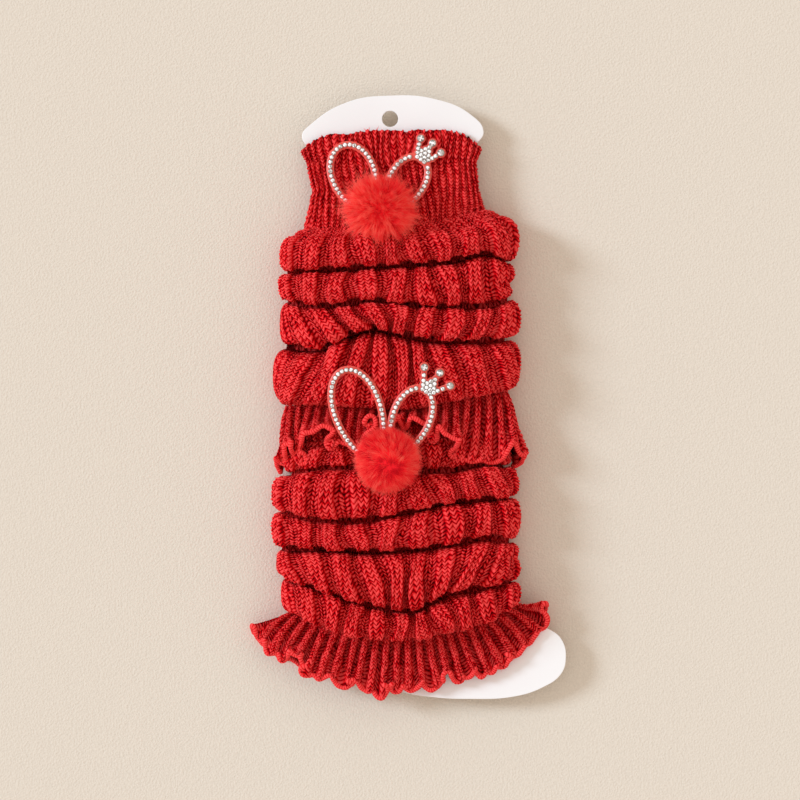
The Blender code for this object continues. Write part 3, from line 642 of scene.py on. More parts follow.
def knit_shell(name, grid, relief, hollow, wall, ribbing, material):
    """A closed shell: stitches on the outside, and a plain inside on every fourth column and row.

    grid: plain outside by rows and columns. relief: how far each point is raised before its stitch is.
    hollow: how much painted shade each point gets, towards the dark yarn colour; its stitches are lower there
    too.
    wall: thickness at each row.
    """
    rows, columns = grid.shape[:2]
    places, wales, knit = rib_columns(ribbing)
    courses = np.arange(rows) / ribbing.rows
    normals = grid_normals(grid)
    knit_grid = np.broadcast_to(knit, relief.shape)
    seed = sum(ord(letter) for letter in name)
    slips = sum(amount * lumps(grid, size, seed % count) for amount, size, count in SLIPS)
    stitch = stitch_height(wales + 0.5 * slips, courses[:, None] + slips, knit_grid)
    stitch = STITCH_HEIGHT * (stitch * (1.0 + STITCH_UNEVEN * uneven(relief.shape, seed)) - 0.5)
    stitch = stitch * np.where(places < 1.0, 1.0, STITCH_BACK) * mix(1.0, STITCH_HOLLOW, hollow)
    stitch = stitch * np.clip(grid[..., 2] / GROUND_FADE, 0.0, 1.0)
    outer = grid + normals * (relief + stitch)[..., None]
    outer[..., 2] = np.maximum(outer[..., 2], 0.0)
    inner_rows = np.unique(np.append(np.arange(0, rows, INNER_STEP), rows - 1))
    inner_columns = np.arange(0, columns, INNER_STEP)
    plain = grid[inner_rows][:, inner_columns]
    inner = plain - normals[inner_rows][:, inner_columns] * wall[inner_rows][:, None, None]
    count = len(inner_columns)
    first_inner = rows * columns
    wales = np.append(wales, 2.0 * ribbing.ribs * len(ribbing.wales))

    face_rows, face_columns = grid_faces(rows - 1, columns)
    outer_faces = face_rows * columns + face_columns % columns
    slid = slips[face_rows, face_columns % columns]
    outer_uv = np.stack([wales[face_columns] + 0.5 * slid, courses[face_rows] + slid], axis=-1)

    face_rows, face_columns = grid_faces(len(inner_rows) - 1, count, turned=True)
    inner_faces = first_inner + face_rows * count + face_columns % count
    steps = np.append(inner_columns, columns)
    inner_uv = np.stack([wales[steps[face_columns]], courses[inner_rows[face_rows]]], axis=-1)

    k = np.arange(count)
    run = k[:, None] * INNER_STEP + np.arange(INNER_STEP + 1)
    pair = first_inner + np.stack([k, (k + 1) % count], axis=1)
    start_caps = np.concatenate([(run % columns)[:, ::-1], pair], axis=1)
    last_pair = pair[:, ::-1] + (len(inner_rows) - 1) * count
    end_caps = np.concatenate([(rows - 1) * columns + run % columns, last_pair], axis=1)
    cap_uv = []
    edges = (wales[run][:, ::-1], 0.0, -CAP_COURSES), (wales[run], courses[-1], CAP_COURSES)
    for rim, course, away in edges:
        across = np.concatenate([rim, rim[:, [-1, 0]]], axis=1)
        along = np.full(across.shape, course)
        along[:, -2:] += away
        cap_uv.append(np.stack([across, along], axis=-1))

    points = np.concatenate([outer.reshape(-1, 3), inner.reshape(-1, 3)])
    mesh = new_mesh(name, points, [outer_faces, inner_faces, start_caps, end_caps])
    add_stitch_uv(mesh, np.concatenate([part.reshape(-1, 2) for part in (outer_uv, inner_uv, *cap_uv)]))
    inside = inner.shape[0] * inner.shape[1]
    add_values(mesh, "knit_rib", np.append(knit_grid, np.zeros(inside)))
    # Painted shade of each point, which the material mixes towards the dark colour; the inside gets a set
    # amount.
    add_values(mesh, "hollow", np.append(hollow, np.full(inside, INSIDE_PAINTED_SHADE)))
    obj = show(name, mesh, material)
    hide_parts(name.removesuffix("_knit"))
    return obj


def trough_depth(grid, troughs):
    """How deep each point of a grid lies in the troughs, seen from above."""
    depth = np.zeros(grid.shape[:2])
    for trough in troughs:
        ax, ay = trough.x1 - trough.x0, trough.y1 - trough.y0
        length = math.hypot(ax, ay)
        dx, dy = grid[..., 0] - trough.x0, grid[..., 1] - trough.y0
        along = (dx * ax + dy * ay) / length
        beside = np.abs(dx * ay - dy * ax) / length
        past = np.maximum(0.0, np.maximum(-along, along - length))
        depth += trough.depth * np.exp(-(beside ** 2 + past ** 2) / trough.width ** 2)
    return depth


def pinch_share(grid, pinches):
    """How strongly each point of a grid is gathered."""
    share = np.zeros(grid.shape[:2])
    for pinch in pinches:
        share += pinch.amount * (
            bell(grid[..., 0], pinch.x, pinch.wide) * bell(grid[..., 1], pinch.y, pinch.long)
        )
    return np.clip(share, 0.0, 1.0)


# The leg's ribs: their waves aside, and how they crowd anywhere, near a crease, in a pinch and at most.
LEG_WANDER = ((0.16, 2.3, 9.0), (0.1, 6.1, -23.0))
CROWD_PLAIN, CROWD_NEAR, CROWD_PINCHED, CROWD_MOST = 0.12, 0.3, 0.5, 0.75
# The first fold's lip over the cuff: its share of the fold, and how far it moves back and rises.
LIP_REACH, LIP_BACK, LIP_RISE = 0.16, 1.6, 0.9
# The shares of the first and last fold in which the slots and lumps fade in and out.
FADE_IN, FADE_OUT = 0.25, 0.2
# A slot is cut only above this height, and fully this much higher.
SLOT_FLOOR, SLOT_FADE = 10.0, 6.0
# Heights of a rib and depths between ribs, in shares of settings.rib, and how they fall near a crease.
RIB_START, RIB_TOP = 0.15, 0.85
RAISED, RAISED_PINCHED, RAISED_FALL = 0.8, 0.4, 1.3
SUNK, SUNK_NEAR, SUNK_PINCHED = 0.45, 0.15, 0.8
RIB_IN_CREASE, RIB_AT_END = 0.75, 0.25
# The sharper shoulder of a rib and the shade at its foot: where on its ridge, how wide and how strong.
SHOULDER, SHOULDER_WIDTH, SHOULDER_HEIGHT = 0.7, 0.14, 0.36
FOOT, FOOT_WIDTH, FOOT_SHADE = 0.35, 0.14, 0.3
# Shade between ribs, how much more of it a pinch brings, shade in a slot, and the most there is.
PURL_SHADE, PINCH_SHADE, SLOT_SHADE, MOST_SHADE = 0.05, 3.0, 0.95, 0.95
# Lumps of the pushed cloth: their height and size on the leg and on the cuff.
LEG_LUMP, LEG_LUMP_SIZE = 0.7, 9.0
CUFF_LUMP, CUFF_LUMP_SIZE = 0.5, 7.0
# How much of the leg's relief is left on its back where it touches the ground, and its thinnest wall.
GROUND_RELIEF, THINNEST_LEG = 0.25, 0.9


def make_leg(name, leg, settings, material):
    """The leg: wide ribs of three knit and three purl wales, rolled into folds."""
    ribbing = LEG_RIBBING
    places, _, _ = rib_columns(ribbing)
    folds = len(leg.folds)
    plain = partial(folded_point, leg)
    steps = even_rows(plain, folds, settings.course / MM, ribbing.rows)

    def over_tube(pairs):
        """What is given at the left and right end of each crease, read at every point of the tube."""
        ends = [smooth_curve(steps, np.arange(folds + 1.0), side)[:, None] for side in zip(*pairs)]
        return mix(*ends, np.where(places < 1.0, 1.0 - places, places - 1.0))

    drift = (over_tube(leg.drifts) + wander(LEG_WANDER, steps, places)) / ribbing.ribs
    opened = np.clip(over_tube(leg.slots), 0.0, 1.0)
    swell = np.sin(math.pi * (steps % 1.0))
    near = ((1.0 - swell ** 2) ** 2)[:, None]
    slot = ((1.0 - swell) ** 3)[:, None]
    grid = rings(plain, steps, places - drift)
    pinched = pinch_share(grid, leg.pinches)
    amount = np.clip(CROWD_PLAIN + CROWD_NEAR * near + CROWD_PINCHED * pinched, 0.0, CROWD_MOST)
    grid = rings(plain, steps, crowd(places, ribbing, amount) - drift)
    front = (places < 1.0)[None, :]
    lip = (1.0 - ramp(steps, 0.0, LIP_REACH))[:, None] * front
    grid[..., 1] += LIP_BACK * lip
    grid[..., 2] += LIP_RISE * lip
    ridge = rib_profile(places, ribbing)[None, :]
    rib = ramp(ridge, RIB_START, RIB_TOP)
    ends = (ramp(steps, 0.0, FADE_IN) * ramp(steps, float(folds), folds - FADE_OUT))[:, None]
    above = np.clip((grid[..., 2] - SLOT_FLOOR) / SLOT_FADE, 0.0, 1.0)
    grid[..., 2] -= settings.crease / MM * slot * opened * ends * above
    raised = rib * (RAISED + RAISED_PINCHED * pinched) * (1.0 - near) ** RAISED_FALL
    sunk = (1.0 - rib) * (SUNK + SUNK_NEAR * near + SUNK_PINCHED * pinched)
    shoulder = SHOULDER_HEIGHT * bell(ridge, SHOULDER, SHOULDER_WIDTH) * (1.0 - near)
    relief = raised - sunk + shoulder - RIB_IN_CREASE * rib * near ** 2
    relief = settings.rib / MM * relief * mix(RIB_AT_END, 1.0, ends)
    relief = relief + np.where(front, LEG_LUMP * lumps(grid, LEG_LUMP_SIZE, folds), 0.0) * ends
    troughs = np.where(front, trough_depth(grid, leg.troughs), trough_depth(grid, leg.back_troughs))
    relief = relief - troughs * ends
    relief = relief * np.clip(grid[..., 2] / GROUND_FADE, np.where(front, 1.0, GROUND_RELIEF), 1.0)
    relief = np.maximum(relief, THINNEST_LEG - settings.wall / MM)
    # Painted shade: darker between the ribs and more so in pinches, near black down in the creases' slots,
    # and at the foot of each rib.
    hollow = PURL_SHADE * (1.0 - rib) * (1.0 + PINCH_SHADE * pinched)
    hollow = hollow + SLOT_SHADE * near ** 3 * opened * ends
    hollow = hollow + FOOT_SHADE * bell(ridge, FOOT, FOOT_WIDTH) * (1.0 - near)
    wall = np.full(len(steps), settings.wall / MM)
    return knit_shell(f"{name}_knit", grid, relief, np.clip(hollow, 0.0, MOST_SHADE), wall, ribbing, material)


# The waves aside of the cuff's ribs.
CUFF_WANDER = ((0.3, 5.0, 14.0), (0.2, 11.0, -37.0))
# The cuff's edge: how long its rounding is, how much it narrows, sinks and stands out at ribs and at random.
EDGE_ROUNDING, EDGE_NARROWING, EDGE_SINKING, EDGE_RIBS, EDGE_UNEVEN = 2.4, 0.035, 0.9, 0.9, 0.5
# Its corners rise by this much, over this length of cuff, and then fall again at the very sides.
CORNER_RISE, CORNER_LENGTH, CORNER_FALL = 2.4, 14.0, 0.45
CORNER_FROM, CORNER_TO, FALL_FROM = 0.4, 0.85, 0.9
# Heights of its ribs, in front and behind, and how much is left of them at the leg.
CUFF_RAISED, CUFF_SUNK, CUFF_SUNK_BACK = 0.6, 1.1, 0.3
CUFF_AT_LEG, CUFF_FADE = 0.3, 6.0
# Painted shade between the cuff's ribs.
CUFF_SHADE = 0.2


def make_cuff(name, rows, settings, material):
    """The cuff: one knit and one purl wale by turns."""
    ribbing = CUFF_RIBBING
    places, _, _ = rib_columns(ribbing)
    plain = partial(rowed_point, rows)
    steps = even_rows(plain, 1.0, settings.course / MM, ribbing.rows)
    grid = rings(plain, steps, places + wander(CUFF_WANDER, steps, places) / ribbing.ribs)
    front = (places < 1.0)[None, :]
    rib = rib_profile(places, ribbing)[None, :]
    depth = np.arange(len(steps))[:, None] * settings.course / MM / ribbing.rows
    edge = np.clip(1.0 - depth / EDGE_ROUNDING, 0.0, 1.0) ** 2
    middle = (rows[0].left + rows[0].right) / 2.0
    grid[..., 0] = middle + (grid[..., 0] - middle) * (1.0 - EDGE_NARROWING * edge)
    outward = np.abs(grid[:1, :, 0] - middle) / ((rows[0].right - rows[0].left) / 2.0)
    corner = ramp(outward, CORNER_FROM, CORNER_TO) * (1.0 - CORNER_FALL * ramp(outward, FALL_FROM, 1.0))
    grid[..., 1] += CORNER_RISE * corner * np.clip(1.0 - depth / CORNER_LENGTH, 0.0, 1.0)
    grid[..., 1] += edge * (EDGE_RIBS * (rib - 0.5) + EDGE_UNEVEN * uneven(len(places), 3))
    fade = mix(CUFF_AT_LEG, 1.0, np.minimum(1.0, CUFF_FADE * (1.0 - steps)))[:, None]
    purl = 1.0 - rib
    relief = np.where(front, CUFF_RAISED * rib - CUFF_SUNK * purl, -CUFF_SUNK_BACK * purl) * fade
    relief = relief + np.where(front, CUFF_LUMP * lumps(grid, CUFF_LUMP_SIZE, 2.0), 0.0) * fade
    relief = relief - EDGE_SINKING * edge
    wall = np.full(len(steps), settings.wall / MM)
    # Painted shade between the ribs.
    hollow = CUFF_SHADE * purl * np.ones_like(relief)
    return knit_shell(f"{name}_knit", grid, relief, hollow, wall, ribbing, material)


# Cloth along a hem's edge: by the length of its path, and by how far it moves aside, and most to the right.
CLOTH_LENGTH, CLOTH_ASIDE = 0.4, 0.2
# The edge curls in small loops: their pitch, how unevenly they come, and the shape and size of one.
CURL_PITCH, CURL_UNEVEN, CURL_TURNS = 8.2, 0.3, 0.11
CURL_WIDTH, CURL_START, CURL_FULL = 0.6, 2.0, 9.0
CURL_SWELL, SWELL_TURNS = 0.5, 0.23
# Where the edge runs out past its smooth middle line it lifts: how the ways count, over what, and its ends.
LOOSE_WAYS, LOOSE_REACH, LEAST_LIFT = (0.25, 1.0), 2.5, -0.7
# Widths of the smoothing of the edge's path and of its ring, as counts in their lengths.
PATH_BLUR, RING_BLUR = 14.0, 34.0
# The back's own waves: how many, and how far they swing along and up; and how far the sides draw them.
BACK_WAVES, BACK_SWING, BACK_RISE, SIDE_REACH = 17.0, 1.2, 0.9, 0.12
# How the flare and its ruffle grow along the hem.
FLARE_GROWTH, RUFFLE_GROWTH = 1.3, 3.2
# The hem's ribs: their heights and shade, how soon they start, and how they and the shade fall to the edge.
HEM_RAISED, HEM_SUNK, HEM_SHADE = 1.5, 1.9, 0.62
HEM_START, HEM_SPEED, HEM_FALL, HEM_FALL_FROM, HEM_SHADE_FALL = 0.3, 3.0, 0.5, 0.8, 0.5
# The hem's wall thins out between these shares of its length. Its thickness at the edge, and the least.
THIN_FROM, THIN_TO = 0.1, 0.9
EDGE_WALL, THINNEST_HEM = 1.0, 0.7


def edge_places(edge, shares):
    """Places on an edge's path. Much of the cloth goes to where the path moves on to the right."""
    points = np.asarray(edge, float)
    aside = np.diff(points[:, 0])
    stations = running(CLOTH_LENGTH * gaps(points) + CLOTH_ASIDE * np.abs(aside) + np.maximum(aside, 0.0))
    stations /= stations[-1]
    slopes = np.gradient(points, stations, axis=0)
    return np.stack([hermite(shares, stations, *line) for line in zip(points.T, slopes.T)], axis=-1)


def make_hem(name, rows, edge, lift, curl, settings, material, thread):
    """The flared hem, whose edge follows the overlocked cord's own path."""
    ribbing = HEM_RIBBING
    places, _, _ = rib_columns(ribbing)
    count = int(np.sum(places < 1.0))
    plain = partial(rowed_point, rows, flat_back=True)
    steps = even_rows(plain, 1.0, settings.course / MM, ribbing.rows)
    grid = rings(plain, steps, np.broadcast_to(places, (len(steps), len(places))))
    base = grid[-1].copy()
    path = edge_places(edge, 1.0 - np.append(places[:count], 1.0))
    run = running(gaps(path))
    turn = FULL * (run / CURL_PITCH + CURL_UNEVEN * np.sin(CURL_TURNS * run))
    size = curl * ramp(np.minimum(run, run[-1] - run), CURL_START, CURL_FULL)
    size = size * (1.0 + CURL_SWELL * np.sin(SWELL_TURNS * run))
    path = path + np.column_stack([-CURL_WIDTH * np.cos(turn), np.sin(turn)]) * size[:, None]
    loose = np.sum((path - blur(path, count / PATH_BLUR)) * np.array(LOOSE_WAYS), axis=1)
    height = base[:count + 1, 2] + lift * np.clip(loose / LOOSE_REACH, LEAST_LIFT, 1.0)
    target = np.column_stack([path, height])
    delta = np.zeros_like(base)
    delta[:count] = target[:-1] - base[:count]
    share = places[count:] - 1.0
    left = ramp(share, SIDE_REACH, 0.0)[:, None] * (target[-1] - base[count])
    right = ramp(share, 1.0 - SIDE_REACH, 1.0)[:, None] * (target[0] - base[0])
    delta[count:] = left + right
    waves = np.sin(share * math.pi) ** 0.5
    delta[count:, 1] += BACK_SWING * waves * np.sin(share * FULL * BACK_WAVES)
    delta[count:, 2] += BACK_RISE * waves * (1.0 + np.cos(share * FULL * BACK_WAVES))
    soft = blur_ring(delta, len(delta) / RING_BLUR)
    flare, ruffle = (steps[:, None, None] ** growth for growth in (FLARE_GROWTH, RUFFLE_GROWTH))
    grid = grid + flare * soft + ruffle * (delta - soft)
    grid[..., 2] = np.maximum(grid[..., 2], 0.0)

    rib = rib_profile(places, ribbing)[None, :]
    swell = np.minimum(1.0, HEM_START + HEM_SPEED * steps)
    swell = swell * (1.0 - HEM_FALL * ramp(steps, HEM_FALL_FROM, 1.0))
    relief = np.where(places < 1.0, HEM_RAISED * rib - HEM_SUNK * (1.0 - rib), 0.0) * swell[:, None]
    wall = mix(settings.wall / MM, EDGE_WALL, ramp(steps, THIN_FROM, THIN_TO))
    relief = np.maximum(relief, THINNEST_HEM - wall[:, None])
    # Painted shade between the hem's ribs, fading towards its edge.
    hollow = HEM_SHADE * (1.0 - rib) * (1.0 - HEM_SHADE_FALL * steps[:, None] ** 3)
    hem = knit_shell(f"{name}_knit", grid, relief, hollow, wall, ribbing, material)
    middle = grid[-1] - grid_normals(grid)[-1] * EDGE_WALL / 2.0
    return hem, make_edge_cord(f"{name}_edge", middle, settings, thread)


# The cord: the step between its rings, its sides, and how its path is smoothed.
CORD_STEP = 0.42
CORD_SIDES = 10
CORD_BLUR = 1.6
# Swells of the cord along its wraps: size, turns for each wrap and start.
CORD_SWELLS = ((0.08, 1.7, 0.0), (0.06, 0.61, 1.0))
# How far its wraps and chance change its radius.
CORD_WRAP = 0.025
CORD_UNEVEN = 0.05


def make_edge_cord(name, middle, settings, material):
    """The overlocked edge: an uneven cord wrapped in slanting threads."""
    closed = np.concatenate([middle, middle[:1]])
    lengths = running(gaps(closed))
    count = int(lengths[-1] / CORD_STEP)
    places = np.arange(count) * lengths[-1] / count
    path = blur_ring(np.stack([np.interp(places, lengths, line) for line in closed.T], axis=-1), CORD_BLUR)
    radius = settings.edge_width / MM / 2.0
    path[:, 2] = np.maximum(path[:, 2], radius)
    tangent = unit(np.roll(path, -1, axis=0) - np.roll(path, 1, axis=0))
    up = unit(np.array([0.0, 0.0, 1.0]) - tangent * tangent[:, 2:])
    side = np.cross(tangent, up)
    angle = np.arange(CORD_SIDES) / CORD_SIDES * FULL
    wraps = round(lengths[-1] / (settings.wrap / MM))
    twist = places / lengths[-1] * wraps
    size = 1.0 + sum(part * np.sin(twist * turns + start) for part, turns, start in CORD_SWELLS)[:, None]
    size = size + CORD_WRAP * np.cos(FULL * twist[:, None] + angle)
    size = radius * (size + CORD_UNEVEN * uneven((count, CORD_SIDES), 5))
    aside = side[:, None, :] * (np.cos(angle) * size)[..., None]
    points = path[:, None, :] + aside + up[:, None, :] * (np.sin(angle) * size)[..., None]
    points[..., 2] = np.maximum(points[..., 2], 0.0)
    face_rows, face_columns = grid_faces(count, CORD_SIDES)
    faces = (face_rows % count) * CORD_SIDES + face_columns % CORD_SIDES
    mesh = new_mesh(name, points.reshape(-1, 3), [faces])
    add_stitch_uv(mesh, np.stack([face_columns / CORD_SIDES, np.append(twist, wraps)[face_rows]], axis=-1))
    return show(name, mesh, material)


# Materials

# How much fibres, patches and chance from stitch to stitch change the yarn's tone, and where it starts.
FIBRE_TONE, PATCH_TONE, CHANCE_TONE, KNIT_TONE = 0.5, 0.42, 0.5, 0.67
THREAD_TONE = 0.12
# Painted glow of the fibres of the pompoms and of the knit, standing in for the light that they pass on to
# each other.
FUR_GLOW, FIBRE_GLOW = 0.16, 0.05


def add_node(tree, kind, sockets=(), **settings):
    """Add a node with its settings, and set or link its sockets, which are given by name or in their order.

    A node that is given for a socket stands for its own first output.
    """
    made = tree.nodes.new(f"ShaderNode{kind}")
    for key, value in settings.items():
        setattr(made, key, value)
    for key, value in sockets.items() if isinstance(sockets, dict) else enumerate(sockets):
        if isinstance(value, bpy.types.Node):
            value = value.outputs[0]
        if isinstance(value, bpy.types.NodeSocket):
            tree.links.new(value, made.inputs[key])
        else:
            made.inputs[key].default_value = value
    return made


def set_ramp(node, *stops):
    """Give a colour ramp its stops: places and colours."""
    elements = node.color_ramp.elements
    while len(elements) > 1:
        elements.remove(elements[-1])
    for index, (place, color) in enumerate(stops):
        element = elements[0] if index == 0 else elements.new(place)
        element.position = place
        element.color = (*color, 1.0)


def finish_material(name, recipe, *settings):
    """The material of that name. A recipe adds its nodes and gives the sockets of its shader."""
    if name not in bpy.data.materials:
        material = bpy.data.materials.new(name)
        material.use_nodes = True
        tree = material.node_tree
        tree.nodes.clear()
        shader = add_node(tree, "BsdfPrincipled", recipe(tree, *settings))
        add_node(tree, "OutputMaterial", {"Surface": shader})
    return bpy.data.materials[name]


def knit_material(tree, settings):
    """Acrylic rib knit: soft matt yarn in slanting stitches, with painted shade between them and down in the
    hollows, and painted highlight on their tops.
    """
    place = add_node(tree, "TexCoord").outputs["Object"]
    split = add_node(tree, "SeparateXYZ", (add_node(tree, "UVMap", uv_map="stitches"),))
    wale, course = split.outputs["X"], split.outputs["Y"]
    # The same arms and grains as stitch_height raises in the mesh.
    arm = add_node(tree, "Math", (wale, 0.5), operation="PINGPONG")
    slant = add_node(tree, "Math", (arm, -ARM_SLANT, course), operation="MULTIPLY_ADD")
    slid = add_node(tree, "Math", (slant, ARM_SLANT / 2.0), operation="ADD")
    zigzag = add_node(tree, "Math", (wale, 1.0), operation="PINGPONG")
    staggered = add_node(tree, "Math", (zigzag, -GRAIN_SLANT, course), operation="MULTIPLY_ADD")
    parts = []
    for turn, low in zip((arm, slid, wale, staggered), STITCH_LOWS):
        half_turns = add_node(tree, "Math", (turn, math.pi), operation="MULTIPLY")
        wave = add_node(tree, "Math", (half_turns,), operation="SINE")
        height = add_node(tree, "Math", (wave,), operation="ABSOLUTE")
        parts.append(add_node(tree, "Math", (height, 1.0 - low, low), operation="MULTIPLY_ADD"))
    knit = add_node(tree, "Math", parts[:2], operation="MULTIPLY")
    purl = add_node(tree, "Math", parts[2:], operation="MULTIPLY")
    rib = add_node(tree, "Attribute", attribute_name="knit_rib").outputs["Fac"]
    stitch = add_node(tree, "Mix", {0: rib, 2: purl, 3: knit}, data_type="FLOAT")
    half_wale = add_node(tree, "Math", (wale, 0.5), operation="SNAP")
    whole_course = add_node(tree, "Math", (slid,), operation="FLOOR")
    cell = add_node(tree, "CombineXYZ", (half_wale, whole_course))
    chance = add_node(tree, "TexWhiteNoise", {"Vector": cell}, noise_dimensions="2D")
    fibre = add_node(tree, "TexNoise", {"Vector": place, "Scale": 1900.0, "Detail": 2.0})
    patch = add_node(tree, "TexNoise", {"Vector": place, "Scale": 230.0, "Detail": 3.0})
    fibred = add_node(tree, "Math", (fibre, FIBRE_TONE, stitch), operation="MULTIPLY_ADD")
    toned = add_node(tree, "Math", (patch, PATCH_TONE, fibred), operation="MULTIPLY_ADD")
    picked = add_node(tree, "Math", (chance, CHANCE_TONE, toned), operation="MULTIPLY_ADD")
    shade = add_node(tree, "Math", (picked, KNIT_TONE), operation="SUBTRACT")
    # Painted light: high yarn is painted towards the lit colour and low yarn towards the dark one, over
    # random tone from fibres, patches and stitches.
    color = add_node(tree, "ValToRGB", (shade,))
    set_ramp(color, (0.08, settings.dark), (0.37, settings.deep), (0.62, settings.yarn), (0.94, settings.lit))
    # Painted shade: the colour goes towards the dark colour as far as each point's painted shade value says.
    hollow = add_node(tree, "Attribute", attribute_name="hollow").outputs["Fac"]
    ends = {"Factor": hollow, "A": color, "B": (*settings.dark, 1.0)}
    sunk = add_node(tree, "Mix", ends, data_type="RGBA").outputs["Result"]
    bump = add_node(tree, "Bump", {"Strength": 1.0, "Distance": settings.stitch_depth, "Height": fibred})
    return {"Base Color": sunk, "Roughness": 0.7, "Specular IOR Level": 0.02, "Normal": bump}


def edge_material(tree, settings):
    """Overlocked edge: woolly thread wrapped round the hem's edge in close slanting turns."""
    place = add_node(tree, "TexCoord").outputs["Object"]
    split = add_node(tree, "SeparateXYZ", (add_node(tree, "UVMap", uv_map="stitches"),))
    slant = add_node(tree, "Math", (split.outputs["X"], split.outputs["Y"]), operation="ADD")
    half_turns = add_node(tree, "Math", (slant, math.pi), operation="MULTIPLY")
    wave = add_node(tree, "Math", (half_turns,), operation="SINE")
    thread = add_node(tree, "Math", (wave,), operation="ABSOLUTE")
    fibre = add_node(tree, "TexNoise", {"Vector": place, "Scale": 2400.0, "Detail": 2.0})
    fibred = add_node(tree, "Math", (fibre, FIBRE_TONE, thread), operation="MULTIPLY_ADD")
    # Painted shade between the wraps and painted highlight on their tops, by the thread's height.
    shade = add_node(tree, "Math", (fibred, THREAD_TONE), operation="SUBTRACT")
    color = add_node(tree, "ValToRGB", (shade,))
    set_ramp(color, (0.0, settings.deep), (0.3, settings.yarn), (1.0, settings.lit))
    bump = add_node(tree, "Bump", {"Strength": 1.0, "Distance": 0.00007, "Height": fibred})
    return {"Base Color": color, "Roughness": 0.75, "Specular IOR Level": 0.06, "Normal": bump}


def fur_material(tree, settings, glow):
    """Soft fibres in their dyed colour, with painted shade towards the root and painted highlight towards the
    tip.

    glow: how strongly the fibres glow in their own colour, a painted glow that stands in for the light
    passing on from fibre to fibre within the fur.
    """
    tone = add_node(tree, "Attribute", attribute_name="tone").outputs["Fac"]
    color = add_node(tree, "ValToRGB", (tone,))
    set_ramp(color, (0.0, settings.root), (0.45, settings.strand), (1.0, settings.tip))
    fibre = {"Base Color": color, "Roughness": 0.5, "Specular IOR Level": 0.1}
    # Painted glow: the fibres give off light in their own colour.
    return {**fibre, "Emission Color": color, "Emission Strength": glow}


def card_material(tree):
    """Pressed white card with a satin face: very fine pressing grain, paler than its surroundings."""
    place = add_node(tree, "TexCoord").outputs["Object"]
    grain = add_node(tree, "TexNoise", {"Vector": place, "Scale": 900.0, "Detail": 3.0})
    cloud = add_node(tree, "TexNoise", {"Vector": place, "Scale": 18.0, "Detail": 2.0})
    color = add_node(tree, "ValToRGB", (cloud,))
    set_ramp(color, (0.3, linear("f6f4f4")), (0.7, linear("fdfcfc")))
    bump = add_node(tree, "Bump", {"Strength": 0.25, "Distance": 0.00005, "Height": grain})
    return {"Base Color": color, "Roughness": 0.42, "Normal": bump}


def backing_material(tree):
    """Red felt-like backing of the stone strips, with a film of clear glue that shines a little."""
    place = add_node(tree, "TexCoord").outputs["Object"]
    felt = add_node(tree, "TexNoise", {"Vector": place, "Scale": 1500.0, "Detail": 3.0})
    color = add_node(tree, "ValToRGB", (felt,))
    set_ramp(color, (0.3, linear("dc3630")), (0.7, linear("f26a5a")))
    bump = add_node(tree, "Bump", {"Strength": 0.5, "Distance": 0.0001, "Height": felt})
    return {"Base Color": color, "Roughness": 0.45, "Normal": bump}


def stone_material(tree):
    """Foil-backed cut glass: each facet is painted a random grey to white as a painted reflection, and glows
    a little as a painted glint.
    """
    glint = add_node(tree, "Attribute", attribute_name="glint").outputs["Fac"]
    color = add_node(tree, "ValToRGB", (glint,))
    set_ramp(color, (0.0, linear("7e7972")), (0.3, linear("d6d3ce")), (0.5, linear("ffffff")))
    glass = {"Base Color": color, "Roughness": 0.1, "Coat Weight": 1.0}
    # Painted glint: the facets glow a little in their painted colour.
    return {**glass, "Emission Color": color, "Emission Strength": 0.15}


def cup_material(tree):
    """Pressed tin-plated cups round the stones: bright, slightly scuffed."""
    place = add_node(tree, "TexCoord").outputs["Object"]
    scuff = add_node(tree, "TexNoise", {"Vector": place, "Scale": 1800.0, "Detail": 2.0})
    rough = add_node(tree, "MapRange", {"Value": scuff, "To Min": 0.18, "To Max": 0.42})
    color = add_node(tree, "ValToRGB", (scuff,))
    set_ramp(color, (0.3, linear("7e756e")), (0.7, linear("c8c0b8")))
    return {"Base Color": color, "Metallic": 1.0, "Roughness": rough}


def floor_material(tree, settings):
    """Painted plaster board: matt, with a fine rolled texture."""
    place = add_node(tree, "TexCoord").outputs["Object"]
    rolled = add_node(tree, "TexNoise", {"Vector": place, "Scale": 1100.0, "Detail": 2.0})
    color = add_node(tree, "ValToRGB", (rolled,))
    low, high = ([min(1.0, part * tone) for part in settings.floor] for tone in (0.96, 1.03))
    set_ramp(color, (0.3, low), (0.7, high))
    bump = add_node(tree, "Bump", {"Strength": 0.5, "Distance": 0.0006, "Height": rolled})
    return {"Base Color": color, "Roughness": 0.9, "Normal": bump}


# Pompoms, stones and card

# Rings of a strand: how far along it they are, and their width there. Its tip is a point.
STRAND_RINGS = (0.0, 0.35, 0.7)
STRAND_TAPER = (1.0, 0.85, 0.5)
STRAND_SIDES = 3
# Strands steeper than this take their sides from another axis.
STEEP = 0.8
# How much paler a strand is painted at its tip than at its root, as painted highlight and shade, and where it
# has its own tone.
TIP_TONE, OWN_TONE_AT = 0.55, 0.55


